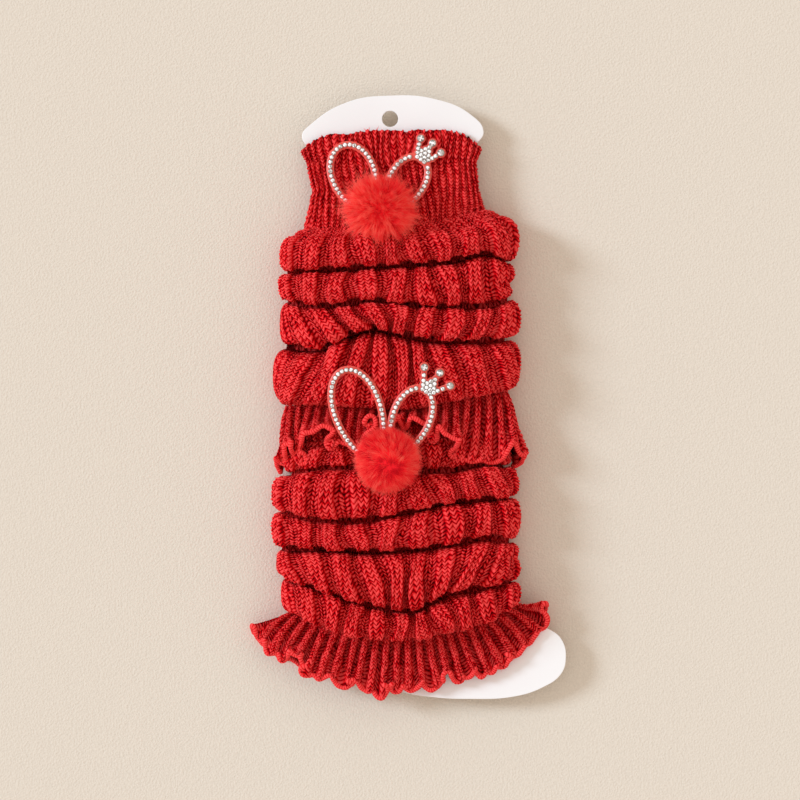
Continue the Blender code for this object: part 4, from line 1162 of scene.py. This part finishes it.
def strand_mesh(name, roots, ways, lengths, bends, widths, tones):
    """Tapered three-sided strands that bend towards their own sides, all in one mesh."""
    count = len(roots)
    levels = np.array((*STRAND_RINGS, 1.0))
    ways = unit(ways)
    helper = np.where(np.abs(ways[:, 2:]) < STEEP, [[0.0, 0.0, 1.0]], [[1.0, 0.0, 0.0]])
    side = unit(np.cross(ways, helper))
    other = np.cross(ways, side)
    straight = roots[:, None, :] + ways[:, None, :] * (lengths[:, None] * levels)[..., None]
    spine = straight + bends[:, None, :] * (levels ** 2)[:, None]
    corner = (np.arange(STRAND_SIDES) / float(STRAND_SIDES) * FULL)[:, None]
    out = side[:, None, None, :] * np.cos(corner) + other[:, None, None, :] * np.sin(corner)
    wide = widths[:, None, None, None] * np.array(STRAND_TAPER)[:, None, None]
    loops = spine[:, :-1, None, :] + out * wide
    rows = len(STRAND_RINGS)
    each = rows * STRAND_SIDES + 1
    points = np.concatenate([loops.reshape(count, each - 1, 3), spine[:, -1:, :]], axis=1)
    face_rows, face_columns = grid_faces(rows - 1, STRAND_SIDES)
    quads = face_rows * STRAND_SIDES + face_columns % STRAND_SIDES
    k = np.arange(STRAND_SIDES)
    last = (rows - 1) * STRAND_SIDES
    tips = np.stack([last + k, last + (k + 1) % STRAND_SIDES, np.full(STRAND_SIDES, each - 1)], axis=1)
    tips = np.concatenate([tips, k[None, ::-1]])
    start = (np.arange(count) * each)[:, None, None]
    groups = [(start + corners).reshape(-1, corners.shape[1]) for corners in (quads, tips)]
    mesh = new_mesh(name, points.reshape(-1, 3), groups)
    along = np.append(np.repeat(STRAND_RINGS, STRAND_SIDES), 1.0)
    add_values(mesh, "tone", np.clip(tones[:, None] + TIP_TONE * (along - OWN_TONE_AT), 0.0, 1.0))
    return mesh


# How a pompom's fur grows. seed: of its random numbers. aside: how far it sits to the right of its plate.
# core: width of its soft core in shares of the pompom. tufts: how many, in shares of the set number.
# spread, lengths: how unlike the tufts' ways and lengths are. sides: their lengths in the middle and aside.
# sag: how far they hang. tone: of a middling tuft. pull: how far strands draw to their tuft's end.
# whorl: where the fur is combed from, if it is combed.
Growth = namedtuple("Growth", "seed aside core tufts spread lengths sides sag tone pull whorl")
GROWTHS = {
    "upper": Growth(7, 1.0, 0.62, 1.8, 0.26, (0.8, 1.36), (0.94, 1.24), -0.8, 0.62, 0.42, None),
    "lower": Growth(19, 0.0, 0.7, 1.0, 0.12, (0.86, 1.04), (1.0, 1.0), -1.4, 0.52, 0.36, (1.8, -3.0, 0.0)),
}
# The foot and the middle of a pompom, and the height and tone of its core.
POMPOM_FOOT, POMPOM_MIDDLE, CORE_HEIGHT, CORE_TONE = 1.0, 0.42, 0.58, 0.35
GOLDEN_TURN = math.pi * (3.0 - math.sqrt(5.0))
# Tufts cover the ball but for its very bottom. Combed ones point outwards, away from the whorl and round it.
TUFTED = 1.85
COMBING = (0.55, 0.7, 0.35)
TUFT_TONES = 0.22
# How unlike the strands of one tuft are in root, way, length, bend and tone.
ROOT_SPREAD, WAY_SPREAD, STRAND_LENGTHS, BEND_SPREAD, TONE_SPREAD = 0.085, 0.05, (0.82, 1.05), 0.25, 0.16
ROOT_DEPTH, GUARD_LENGTH, STRAND_WIDTHS = 0.92, 1.3, (0.06, 0.11)
# Painted shade: the fur is darker down in its whorl.
WHORL_SHADE, WHORL_WIDTH = 0.5, 3.0


def make_core(trim, middle, half, material):
    """The soft core of a pompom, hidden under its fur."""
    bpy.ops.object.select_all(action="DESELECT")
    bpy.ops.mesh.primitive_ico_sphere_add(subdivisions=4, radius=MM, location=(0.0, 0.0, 0.0))
    core = bpy.context.object
    core.name = f"{trim.name}_pompom_core"
    core.data.transform(Matrix.Diagonal((*half, 1.0)))
    core.data.transform(Matrix.Translation(middle * MM))
    core.data.shade_smooth()
    add_values(core.data, "tone", np.full(len(core.data.vertices), CORE_TONE))
    core.data.materials.append(material)
    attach(core, "root")


def make_pompom(trim, settings, material):
    """A fur ball: a soft core hidden under tapered strands that stand out from it."""
    growth = GROWTHS[trim.name]
    rng = np.random.default_rng(growth.seed)
    bottom = trim.height + POMPOM_FOOT
    middle = np.array([trim.x + growth.aside, trim.y, mix(bottom, trim.pompom_top, POMPOM_MIDDLE)])
    half = np.array([POMPOM_RADIUS, POMPOM_RADIUS, (trim.pompom_top - bottom) * CORE_HEIGHT]) * growth.core
    make_core(trim, middle, half, material)

    tufts = int(settings.tufts * growth.tufts)
    index = np.arange(tufts) + 0.5
    up = 1.0 - TUFTED * index / tufts
    flat = np.sqrt(np.clip(1.0 - up ** 2, 0.0, 1.0))
    around = index * GOLDEN_TURN
    tuft_out = np.stack([flat * np.cos(around), flat * np.sin(around), up], axis=-1)
    tuft_way = tuft_out
    if growth.whorl:
        comb = unit((tuft_out * half - growth.whorl) * np.array([1.0, 1.0, 0.0]), least=0.5)
        swirl = np.stack([-comb[:, 1], comb[:, 0], np.zeros(tufts)], axis=-1)
        tuft_way = COMBING[0] * tuft_out + COMBING[1] * comb + COMBING[2] * swirl
    tuft_way = unit(tuft_way + rng.normal(0.0, growth.spread, tuft_out.shape))
    tuft_length = rng.uniform(*growth.lengths, tufts) * mix(*growth.sides, np.abs(tuft_out[:, 0]))
    tuft_tone = rng.normal(growth.tone, TUFT_TONES, tufts)

    count = settings.strands
    tuft = rng.integers(0, tufts, count)
    out = unit(tuft_out[tuft] + rng.normal(0.0, ROOT_SPREAD, (count, 3)))
    roots = middle + out * half * ROOT_DEPTH
    ways = unit(tuft_way[tuft] + rng.normal(0.0, WAY_SPREAD, (count, 3)))
    # The strands end where the pompom does, whichever way they are combed.
    reach = np.array([POMPOM_RADIUS, POMPOM_RADIUS, trim.pompom_top - middle[2]])
    start, run = (roots - middle) / reach, ways / reach
    along, square = np.sum(start * run, axis=1), np.sum(run * run, axis=1)
    gap = np.clip(1.0 - np.sum(start * start, axis=1), 0.0, 1.0)
    lengths = (np.sqrt(along ** 2 + square * gap) - along) / square
    lengths *= tuft_length[tuft] * rng.uniform(*STRAND_LENGTHS, count)
    lengths *= np.where(rng.random(count) < settings.guard, GUARD_LENGTH, 1.0)
    ends = middle + tuft_out[tuft] * half + tuft_way[tuft] * lengths[:, None]
    bends = growth.pull * (ends - roots - ways * lengths[:, None]) + np.array([0.0, 0.0, growth.sag])
    bends += rng.normal(0.0, BEND_SPREAD, (count, 3))
    tones = tuft_tone[tuft] + rng.normal(0.0, TONE_SPREAD, count)
    # Painted shade down in the whorl.
    if growth.whorl:
        apart = np.linalg.norm((roots - middle - growth.whorl)[:, :2], axis=1)
        tones -= WHORL_SHADE * bell(apart, 0.0, WHORL_WIDTH)
    widths = rng.uniform(*STRAND_WIDTHS, count)
    mesh = strand_mesh(
        f"{trim.name}_pompom_fur", roots, ways, lengths, bends, widths, np.clip(tones, 0.0, 1.0)
    )
    fur = show(f"{trim.name}_pompom_fur", mesh, material)
    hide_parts(f"{trim.name}_pompom")


def ear_path(ear, count):
    """A teardrop loop: pointed at its foot, round at its top."""
    foot, top = np.array(ear.foot), np.array(ear.top)
    axis = top - foot
    side = unit(np.array((axis[1], -axis[0])))
    half_width = ear.width / 2.0 / EAR_FILL
    turn = np.linspace(EAR_OPENING, FULL - EAR_OPENING, count)[:, None]
    swing = half_width * np.sin(turn) * np.sin(turn / 2.0) ** EAR_ROUNDNESS
    return foot + axis * (1.0 - np.cos(turn)) / 2.0 + side * swing


def stone_places(trim, settings):
    """Places of the small and large stones on one trim, of the crown's pad, and the lines of its prongs."""
    pitch = settings.pitch / MM
    small = []
    for ear in trim.ears:
        path = ear_path(ear, EAR_POINTS)
        lengths = running(gaps(path))
        count = int(lengths[-1] / pitch)
        places = (np.arange(count) + 0.5) * lengths[-1] / count
        small += list(np.stack([np.interp(places, lengths, line) for line in path.T], axis=-1))
    crown = trim.crown
    near = pitch * CROWN_PITCH
    base = np.array((crown.x, crown.y))
    ahead = np.array((math.cos(crown.heading), math.sin(crown.heading)))
    across = np.array((-ahead[1], ahead[0]))
    pad = [
        base + near * (ahead * row * ROW_STEP + across * (place - (stones - 1) / 2.0))
        for row, stones in enumerate(CROWN_ROWS)
        for place in range(stones)
    ]
    apart = near * PAD_CLEARANCE
    small = [place for place in small if min(math.dist(place, other) for other in pad) > apart]
    widest = sum(CROWN_ROWS[:2])
    roots = pad[widest], pad[-1], pad[widest + CROWN_ROWS[2] - 1]
    large = []
    for prong in (-1, 0, 1):
        heading = crown.heading + prong * crown.spread
        reach = crown.reach * (1.0 if prong else MIDDLE_REACH)
        large.append(base + reach * np.array((math.cos(heading), math.sin(heading))))
    between = [mix(roots[side], large[side], PRONG_STONE) for side in (0, 2)]
    return small + pad + between, large, pad, list(zip(roots, large))


def flat_disc(x, y, radius, material, lift=0.0):
    """A round pad of the backing with a softened edge."""
    bpy.ops.object.select_all(action="DESELECT")
    bpy.ops.mesh.primitive_cylinder_add(
        vertices=32, radius=radius * MM, depth=STRIP_THICKNESS * MM, location=(x * MM, y * MM, lift * MM)
    )
    disc = bpy.context.object
    bpy.ops.object.mode_set(mode="EDIT")
    bpy.ops.mesh.select_all(action="SELECT")
    width = PAD_BEVEL * STRIP_THICKNESS * MM
    bpy.ops.mesh.bevel(offset=width, segments=2, affect="EDGES", clamp_overlap=True)
    bpy.ops.object.mode_set(mode="OBJECT")
    disc.data.materials.append(material)
    return disc


def curve_mesh(context, curve):
    """The mesh of a curve, which is taken away again."""
    drawn = bpy.data.objects.new(curve.name, curve)
    context.scene.collection.objects.link(drawn)
    mesh = bpy.data.meshes.new_from_object(drawn.evaluated_get(context.evaluated_depsgraph_get()))
    bpy.data.objects.remove(drawn)
    mesh.materials.clear()
    return mesh


def make_backing(context, trim, large, pad, prongs, tilt, material):
    """The red backing: a rounded strip along each ear, the prongs, and the pads they end in."""
    curve = bpy.data.curves.new("strips", "CURVE")
    curve.dimensions = "3D"
    curve.bevel_depth = STRIP_WIDTH / 2.0 * MM
    curve.bevel_resolution = 3
    curve.use_fill_caps = True
    for line in [ear_path(ear, STRIP_POINTS) for ear in trim.ears] + prongs:
        spline = curve.splines.new("POLY")
        spline.points.add(len(line) - 1)
        for point, (x, y) in zip(spline.points, line):
            point.co = (x * MM, y * MM, 0.0, 1.0)
            point.radius = PRONG_WIDTH if len(line) == 2 else 1.0
    mesh = curve_mesh(context, curve)
    mesh.transform(Matrix.Diagonal((1.0, 1.0, STRIP_THICKNESS / STRIP_WIDTH, 1.0)))
    strips = show(f"{trim.name}_backing", mesh, material)
    discs = [flat_disc(trim.x, trim.y, PLATE_RADIUS, material)]
    # Discs that overlap lie at slightly different heights, so that no two faces share a plane.
    discs += [flat_disc(x, y, PAD_RADIUS, material, -PAD_STEP * index) for index, (x, y) in enumerate(pad)]
    discs += [flat_disc(x, y, DOT_RADIUS, material) for x, y in large]
    bpy.ops.object.select_all(action="DESELECT")
    for piece in (*discs, strips):
        piece.select_set(True)
    context.view_layer.objects.active = strips
    bpy.ops.object.join()
    strips.data.transform(tilt @ Matrix.Translation((0.0, 0.0, -STRIP_THICKNESS / 2.0 * MM)))
    strips.data.shade_smooth()
    strips.data.set_sharp_from_angle(angle=BACKING_SHARP)
    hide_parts(f"{trim.name}_ear_trim")


def copies(name, model, places, tilt, size, glint):
    """One mesh of copies of a model, stood at places on a tilted plane and turned unlike one another.

    glint: how bright a middling facet's painted reflection is.
    """
    points = np.array([vert.co for vert in model.data.vertices]) * size
    faces = [list(poly.vertices) for poly in model.data.polygons]
    all_points, all_faces = [], []
    for index, (x, y) in enumerate(places):
        lean = Matrix.Rotation(STONE_LEAN * math.sin(index * STONE_SWAY), 4, "X")
        turn = Matrix.Rotation(index * STONE_TURN, 4, "Z") @ lean
        place = np.array(tilt @ Matrix.Translation((x * MM, y * MM, 0.0)) @ turn)
        all_faces += [[corner + index * len(points) for corner in face] for face in faces]
        all_points.append(points @ place[:3, :3].T + place[:3, 3])
    mesh = bpy.data.meshes.new(name)
    mesh.from_pydata(np.concatenate(all_points).tolist(), [], all_faces)
    mesh.update()
    # Painted reflections: each face gets its own brightness.
    glints = np.clip(glint + GLINT_SPREAD * uneven(len(all_faces), len(places)), 0.0, 1.0)
    add_values(mesh, "glint", glints, "FACE")
    return mesh


# The stone and its cup, in radii of the stone.
GIRDLE_RADIUS, GIRDLE_HEIGHT, FACET_WIDTH, FACET_HEIGHT = 0.95, 0.3, 0.5, 0.45
CUP_RADIUS, CUP_THICKNESS, CUP_HEIGHT = 0.98, 0.17, 0.18


def model_stone():
    """A cut stone one unit in radius: a short girdle, a ring of crown facets and a flat table."""
    bpy.ops.object.select_all(action="DESELECT")
    bpy.ops.mesh.primitive_cylinder_add(
        vertices=8, radius=GIRDLE_RADIUS * MM, depth=GIRDLE_HEIGHT * MM,
        location=(0.0, 0.0, GIRDLE_HEIGHT / 2.0 * MM),
    )
    stone = bpy.context.object
    bpy.ops.object.mode_set(mode="EDIT")
    bpy.ops.mesh.select_all(action="DESELECT")
    bpy.ops.object.mode_set(mode="OBJECT")
    for poly in stone.data.polygons:
        poly.select = poly.normal.z > 0.9
    bpy.ops.object.mode_set(mode="EDIT")
    bpy.ops.mesh.inset(thickness=FACET_WIDTH * MM, depth=FACET_HEIGHT * MM)
    bpy.ops.object.mode_set(mode="OBJECT")
    stone.data.transform(stone.matrix_world)
    stone.matrix_world = Matrix.Identity(4)
    return stone


def model_cup():
    """The pressed cup round a stone: a low rounded ring."""
    bpy.ops.object.select_all(action="DESELECT")
    bpy.ops.mesh.primitive_torus_add(
        major_segments=12, minor_segments=5, major_radius=CUP_RADIUS * MM, minor_radius=CUP_THICKNESS * MM,
        location=(0.0, 0.0, CUP_HEIGHT * MM),
    )
    cup = bpy.context.object
    cup.data.transform(cup.matrix_world)
    cup.matrix_world = Matrix.Identity(4)
    return cup


# Settings


def length(name, description, default):
    """A setting for a length, given in millimetres."""
    return FloatProperty(name=name, description=description, default=default * MM, unit="LENGTH")


def color(name, description, code):
    """A setting for a colour, given as an sRGB hex code."""
    return FloatVectorProperty(name=name, description=description, subtype="COLOR", default=linear(code))


class KnitSettings(bpy.types.PropertyGroup):
    """Yarn and stitch sizes of the knit."""

    wall: length("Wall", "From the ribs' middle height to the inside", 2.4)
    crease: length("Crease", "How far the creases are pressed in", 4.5)
    course: length("Course", "Height of one row of stitches", 1.55)
    rib: length("Rib", "How far the leg's ribs stand out", 1.9)
    stitch_depth: length("Stitch depth", "How far the yarns dip between stitches", 0.35)
    edge_width: length("Edge width", "Width of the overlocked edge", 2.2)
    wrap: length("Wrap", "Length of one turn of the overlock thread", 1.1)
    # Tones of the yarn: painted shade between the yarns and on their low sides, the dyed yarn, and painted
    # highlight on their tops.
    dark: color("Dark", "Between the yarns", "380002")
    deep: color("Deep", "Low sides of yarns", "980009")
    yarn: color("Yarn", "The dyed yarn", "de0711")
    lit: color("Lit yarn", "Tops of the yarns", "ff4f4e")


class FurSettings(bpy.types.PropertyGroup):
    """Strands of the pompoms, and stray fibres."""

    strands: IntProperty(name="Strands", description="Strands on each pompom", default=11500, min=100)
    guard: FloatProperty(
        name="Guard hairs", description="Share of hairs that outgrow the rest", default=0.07, min=0.0, max=1.0
    )
    fibres: IntProperty(
        name="Stray fibres", description="Fibres that stand out of the knit", default=6600, min=6
    )
    tufts: IntProperty(name="Tufts", description="Tufts that the strands gather in", default=380, min=10)
    # Painted shade on the low parts of the strands and painted highlight on their ends, round the fur's dyed
    # colour.
    root: color("Root", "Low part of a strand", "c40618")
    strand: color("Strand", "Dyed fur", "f8222c")
    tip: color("Tip", "Lit ends of strands", "ff6a5a")


class TrimSettings(bpy.types.PropertyGroup):
    """Stones of the ear trims."""

    pitch: length("Pitch", "From stone to stone", 2.08)
    small: length("Small stones", "Their width", 1.8)
    large: length("Large stones", "Their width", 2.9)


class StageSettings(bpy.types.PropertyGroup):
    """Floor, light and camera."""

    floor: color("Floor", "Paint of the floor", "e5dacb")
    field: length("Field", "Width that the camera sees", 352.0)
    distance: length("Distance", "Height of the camera", 2200.0)
    key: FloatProperty(name="Key light", description="Strength of the low light from the left", default=2.25)
    fill: FloatProperty(name="Fill light", description="Strength of the light from all round", default=0.79)


# Operators


class LEGWARMERS_OT_legs(bpy.types.Operator):
    """Knit the two folded legs"""

    bl_idname = "legwarmers.legs"
    bl_label = "Folded legs"

    def execute(self, context):
        settings = context.scene.leg_warmer_knit
        material = finish_material("acrylic_rib_knit", knit_material, settings)
        upper = make_leg("upper_leg", UPPER_LEG, settings, material)
        lower = make_leg("lower_leg", LOWER_LEG, settings, material)
        return {"FINISHED"}


class LEGWARMERS_OT_cuffs(bpy.types.Operator):
    """Knit the two cuffs"""

    bl_idname = "legwarmers.cuffs"
    bl_label = "Cuffs"

    def execute(self, context):
        settings = context.scene.leg_warmer_knit
        material = finish_material("acrylic_rib_knit", knit_material, settings)
        upper = make_cuff("upper_cuff", UPPER_CUFF, settings, material)
        lower = make_cuff("lower_cuff", LOWER_CUFF, settings, material)
        return {"FINISHED"}


class LEGWARMERS_OT_hems(bpy.types.Operator):
    """Knit the two flared hems and wrap their edges"""

    bl_idname = "legwarmers.hems"
    bl_label = "Ruffled hems"

    def execute(self, context):
        settings = context.scene.leg_warmer_knit
        cloth = finish_material("acrylic_rib_knit", knit_material, settings)
        thread = finish_material("overlocked_woolly_thread", edge_material, settings)
        upper, upper_cord = make_hem(
            "upper_hem", UPPER_HEM, UPPER_EDGE, UPPER_LIFT, UPPER_CURL, settings, cloth, thread
        )
        lower, lower_cord = make_hem(
            "lower_hem", LOWER_HEM, LOWER_EDGE, LOWER_LIFT, LOWER_CURL, settings, cloth, thread
        )
        return {"FINISHED"}


class LEGWARMERS_OT_pompoms(bpy.types.Operator):
    """Fluff up the two pompoms"""

    bl_idname = "legwarmers.pompoms"
    bl_label = "Pompoms"

    def execute(self, context):
        settings = context.scene.leg_warmer_fur
        material = finish_material("dyed_soft_fur", fur_material, settings, FUR_GLOW)
        for trim in TRIMS:
            make_pompom(trim, settings, material)
        return {"FINISHED"}


# Short ends of yarn that stick out of the top cuff: where they leave it, their way and their length.
YARN_ENDS = (
    ((-18.4, 116.8, 11.0), (-0.45, 1.0, 0.15), 3.2),
    ((-17.6, 116.9, 11.4), (0.1, 1.0, 0.3), 2.6),
    ((-14.6, 117.0, 11.2), (0.5, 1.0, 0.1), 2.4),
    ((18.6, 116.6, 11.6), (-0.3, 1.0, 0.2), 1.6),
    ((-47.0, 108.0, 10.0), (-1.0, 0.2, 0.3), 1.8),
)
YARN_WIDTH, YARN_TONE, YARN_BEND = 0.28, 0.4, 0.5
# Fibres leave the knit above this height, where it doesn't face down.
FIBRES_ABOVE, FIBRES_FACING = 9.0, -0.1
# Their ways lean on the knit's own, and differ in way, length, bend, width and tone.
FIBRE_LEAN, FIBRE_SPREAD, FIBRE_BEND = 0.7, 0.6, 0.7
FIBRE_SEED = 31
FIBRE_LENGTHS, FIBRE_SHARES = (0.8, 2.6), (0.6, 1.4)
FIBRE_WIDTHS, FIBRE_TONES = (0.035, 0.06), (0.3, 0.9)


class LEGWARMERS_OT_fibres(bpy.types.Operator):
    """Raise stray fibres and yarn ends on the knit"""

    bl_idname = "legwarmers.fibres"
    bl_label = "Stray fibres"

    def execute(self, context):
        settings = context.scene.leg_warmer_fur
        material = finish_material("stray_acrylic_fibres", fur_material, settings, FIBRE_GLOW)
        rng = np.random.default_rng(FIBRE_SEED)
        roots, ways = [], []
        knitted = [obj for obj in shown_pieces() if obj.name.endswith("_knit")]
        for obj in knitted:
            points, normals = (np.empty(len(obj.data.vertices) * 3) for _ in range(2))
            obj.data.vertices.foreach_get("co", points)
            obj.data.vertices.foreach_get("normal", normals)
            points, normals = points.reshape(-1, 3) / MM, normals.reshape(-1, 3)
            outside = np.nonzero((normals[:, 2] > FIBRES_FACING) & (points[:, 2] > FIBRES_ABOVE))[0]
            picked = rng.choice(outside, settings.fibres // len(knitted), replace=False)
            roots.append(points[picked])
            ways.append(normals[picked])
        roots = np.concatenate(roots)
        count, ends = len(roots), len(YARN_ENDS)
        yarn_roots, yarn_ways, yarn_lengths = zip(*YARN_ENDS)
        ways = FIBRE_LEAN * np.concatenate(ways) + rng.normal(0.0, FIBRE_SPREAD, (count, 3))
        lengths = rng.uniform(*FIBRE_LENGTHS, count) * rng.uniform(*FIBRE_SHARES, count)
        bends = rng.normal(0.0, FIBRE_BEND, (count, 3))
        widths = rng.uniform(*FIBRE_WIDTHS, count)
        tones = rng.uniform(*FIBRE_TONES, count)
        mesh = strand_mesh(
            "stray_fibres",
            np.concatenate([roots, yarn_roots]),
            np.concatenate([ways, yarn_ways]),
            np.append(lengths, yarn_lengths),
            np.concatenate([bends, rng.normal(0.0, YARN_BEND, (ends, 3))]),
            np.append(widths, np.full(ends, YARN_WIDTH)),
            np.append(tones, np.full(ends, YARN_TONE)),
        )
        show("stray_fibres", mesh, material)
        return {"FINISHED"}


class LEGWARMERS_OT_trims(bpy.types.Operator):
    """Set the stones of the ear trims in their cups"""

    bl_idname = "legwarmers.trims"
    bl_label = "Ear trims"

    def execute(self, context):
        settings = context.scene.leg_warmer_trims
        backing = finish_material("glued_red_backing", backing_material)
        glass = finish_material("foil_backed_cut_glass", stone_material)
        tin = finish_material("pressed_tin_plate", cup_material)
        models = {"stones": model_stone(), "cups": model_cup()}
        for trim in TRIMS:
            small, large, pad, prongs = stone_places(trim, settings)
            tilt = (
                Matrix.Translation((0.0, trim.y * MM, trim.height * MM))
                @ Matrix.Rotation(math.atan(trim.rise), 4, "X")
                @ Matrix.Translation((0.0, -trim.y * MM, (STRIP_THICKNESS / 2.0 + STONE_LIFT) * MM))
            )
            make_backing(context, trim, large, pad, prongs, tilt, backing)
            sizes = (
                ("small", small, settings.small, SMALL_GLINT),
                ("large", large, settings.large, LARGE_GLINT),
            )
            for kind, material in (("stones", glass), ("cups", tin)):
                for size, places, width, glint in sizes:
                    name = f"{trim.name}_{size}_{kind}"
                    mesh = copies(name, models[kind], places, tilt, width / MM / 2.0, glint)
                    if kind == "cups":
                        mesh.shade_smooth()
                    show(name, mesh, material)
        for model in models.values():
            bpy.data.objects.remove(model)
        return {"FINISHED"}


class LEGWARMERS_OT_card(bpy.types.Operator):
    """Cut the display card"""

    bl_idname = "legwarmers.card"
    bl_label = "Display card"

    def execute(self, context):
        curve = bpy.data.curves.new("display_card_face", "CURVE")
        curve.dimensions = "2D"
        curve.fill_mode = "BOTH"
        curve.bevel_depth = CARD_BEVEL * MM
        curve.bevel_resolution = 2
        curve.extrude = (CARD_THICKNESS / 2.0 - CARD_BEVEL) * MM
        x, y = HANG_HOLE
        turns = np.arange(HOLE_POINTS) / HOLE_POINTS * FULL
        hole = [(x + HANG_HOLE_RADIUS * math.cos(t), y + HANG_HOLE_RADIUS * math.sin(t)) for t in turns]
        for outline in (CARD_EDGE, hole):
            spline = curve.splines.new("BEZIER")
            spline.bezier_points.add(len(outline) - 1)
            for point, (x, y) in zip(spline.bezier_points, outline):
                point.co = (x * MM, y * MM, 0.0)
                point.handle_left_type = point.handle_right_type = "AUTO"
            spline.use_cyclic_u = True
            spline.resolution_u = 12
        mesh = curve_mesh(context, curve)
        mesh.transform(Matrix.Translation((0.0, 0.0, CARD_MIDDLE * MM)))
        mesh.shade_smooth()
        mesh.set_sharp_from_angle(angle=CARD_SHARP)
        card = show("display_card_face", mesh, finish_material("pressed_satin_card", card_material))
        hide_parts("display_card")
        return {"FINISHED"}


class LEGWARMERS_OT_stage(bpy.types.Operator):
    """Lay the floor, and set the light and the camera"""

    bl_idname = "legwarmers.stage"
    bl_label = "Stage"

    def execute(self, context):
        settings = context.scene.leg_warmer_stage
        scene = context.scene
        bpy.ops.object.select_all(action="DESELECT")
        bpy.ops.mesh.primitive_plane_add(size=FLOOR_METRES, location=(0.0, 0.0, 0.0))
        floor = context.object
        floor.name = "floor"
        floor.data.transform(Matrix.Translation((0.0, 0.0, -FLOOR_GAP * MM)))
        floor.data.materials.append(finish_material("rolled_matt_paint", floor_material, settings))
        floor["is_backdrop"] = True

        key = bpy.data.lights.new("key", "SUN")
        key.energy = settings.key
        key.angle = KEY_SPREAD
        key.color = linear("daedff")
        key_object = bpy.data.objects.new("key", key)
        key_object.rotation_euler = Vector(KEY_WAY).to_track_quat("-Z", "Y").to_euler()
        scene.collection.objects.link(key_object)

        scene.world = bpy.data.worlds.new("studio")
        scene.world.use_nodes = True
        background = scene.world.node_tree.nodes["Background"]
        background.inputs["Color"].default_value = (*linear("fff4ea"), 1.0)
        background.inputs["Strength"].default_value = settings.fill

        camera = bpy.data.cameras.new("camera")
        camera.sensor_width = 36.0
        camera.lens = camera.sensor_width * settings.distance / settings.field
        camera_object = bpy.data.objects.new("camera", camera)
        x, y, z = CAMERA_OVER
        camera_object.location = (x * MM, y * MM, settings.distance + z * MM)
        scene.collection.objects.link(camera_object)
        scene.camera = camera_object
        scene.view_settings.view_transform = "Standard"
        return {"FINISHED"}


class LEGWARMERS_PT_panel(bpy.types.Panel):
    """Steps and settings in the sidebar"""

    bl_idname = "LEGWARMERS_PT_panel"
    bl_label = "Leg warmers"
    bl_space_type = "VIEW_3D"
    bl_region_type = "UI"
    bl_category = "Leg warmers"

    def draw(self, context):
        for kind in OPERATORS:
            self.layout.operator(kind.bl_idname)
        for name in GROUPS:
            group = getattr(context.scene, name)
            for key in group.bl_rna.properties.keys():
                if key not in ("rna_type", "name"):
                    self.layout.prop(group, key)


OPERATORS = (
    LEGWARMERS_OT_card,
    LEGWARMERS_OT_cuffs,
    LEGWARMERS_OT_legs,
    LEGWARMERS_OT_hems,
    LEGWARMERS_OT_fibres,
    LEGWARMERS_OT_trims,
    LEGWARMERS_OT_pompoms,
    LEGWARMERS_OT_stage,
)
GROUPS = {
    "leg_warmer_knit": KnitSettings,
    "leg_warmer_fur": FurSettings,
    "leg_warmer_trims": TrimSettings,
    "leg_warmer_stage": StageSettings,
}


def register():
    for kind in (*GROUPS.values(), *OPERATORS, LEGWARMERS_PT_panel):
        bpy.utils.register_class(kind)
    for name, kind in GROUPS.items():
        setattr(bpy.types.Scene, name, PointerProperty(type=kind))


def unregister():
    for name in GROUPS:
        delattr(bpy.types.Scene, name)
    for kind in (LEGWARMERS_PT_panel, *reversed(OPERATORS), *reversed(GROUPS.values())):
        bpy.utils.unregister_class(kind)


def main():
    register()
    bpy.ops.legwarmers.card()
    bpy.ops.legwarmers.cuffs()
    bpy.ops.legwarmers.legs()
    bpy.ops.legwarmers.hems()
    bpy.ops.legwarmers.fibres()
    bpy.ops.legwarmers.trims()
    bpy.ops.legwarmers.pompoms()
    bpy.ops.legwarmers.stage()


if __name__ == "__main__":
    main()
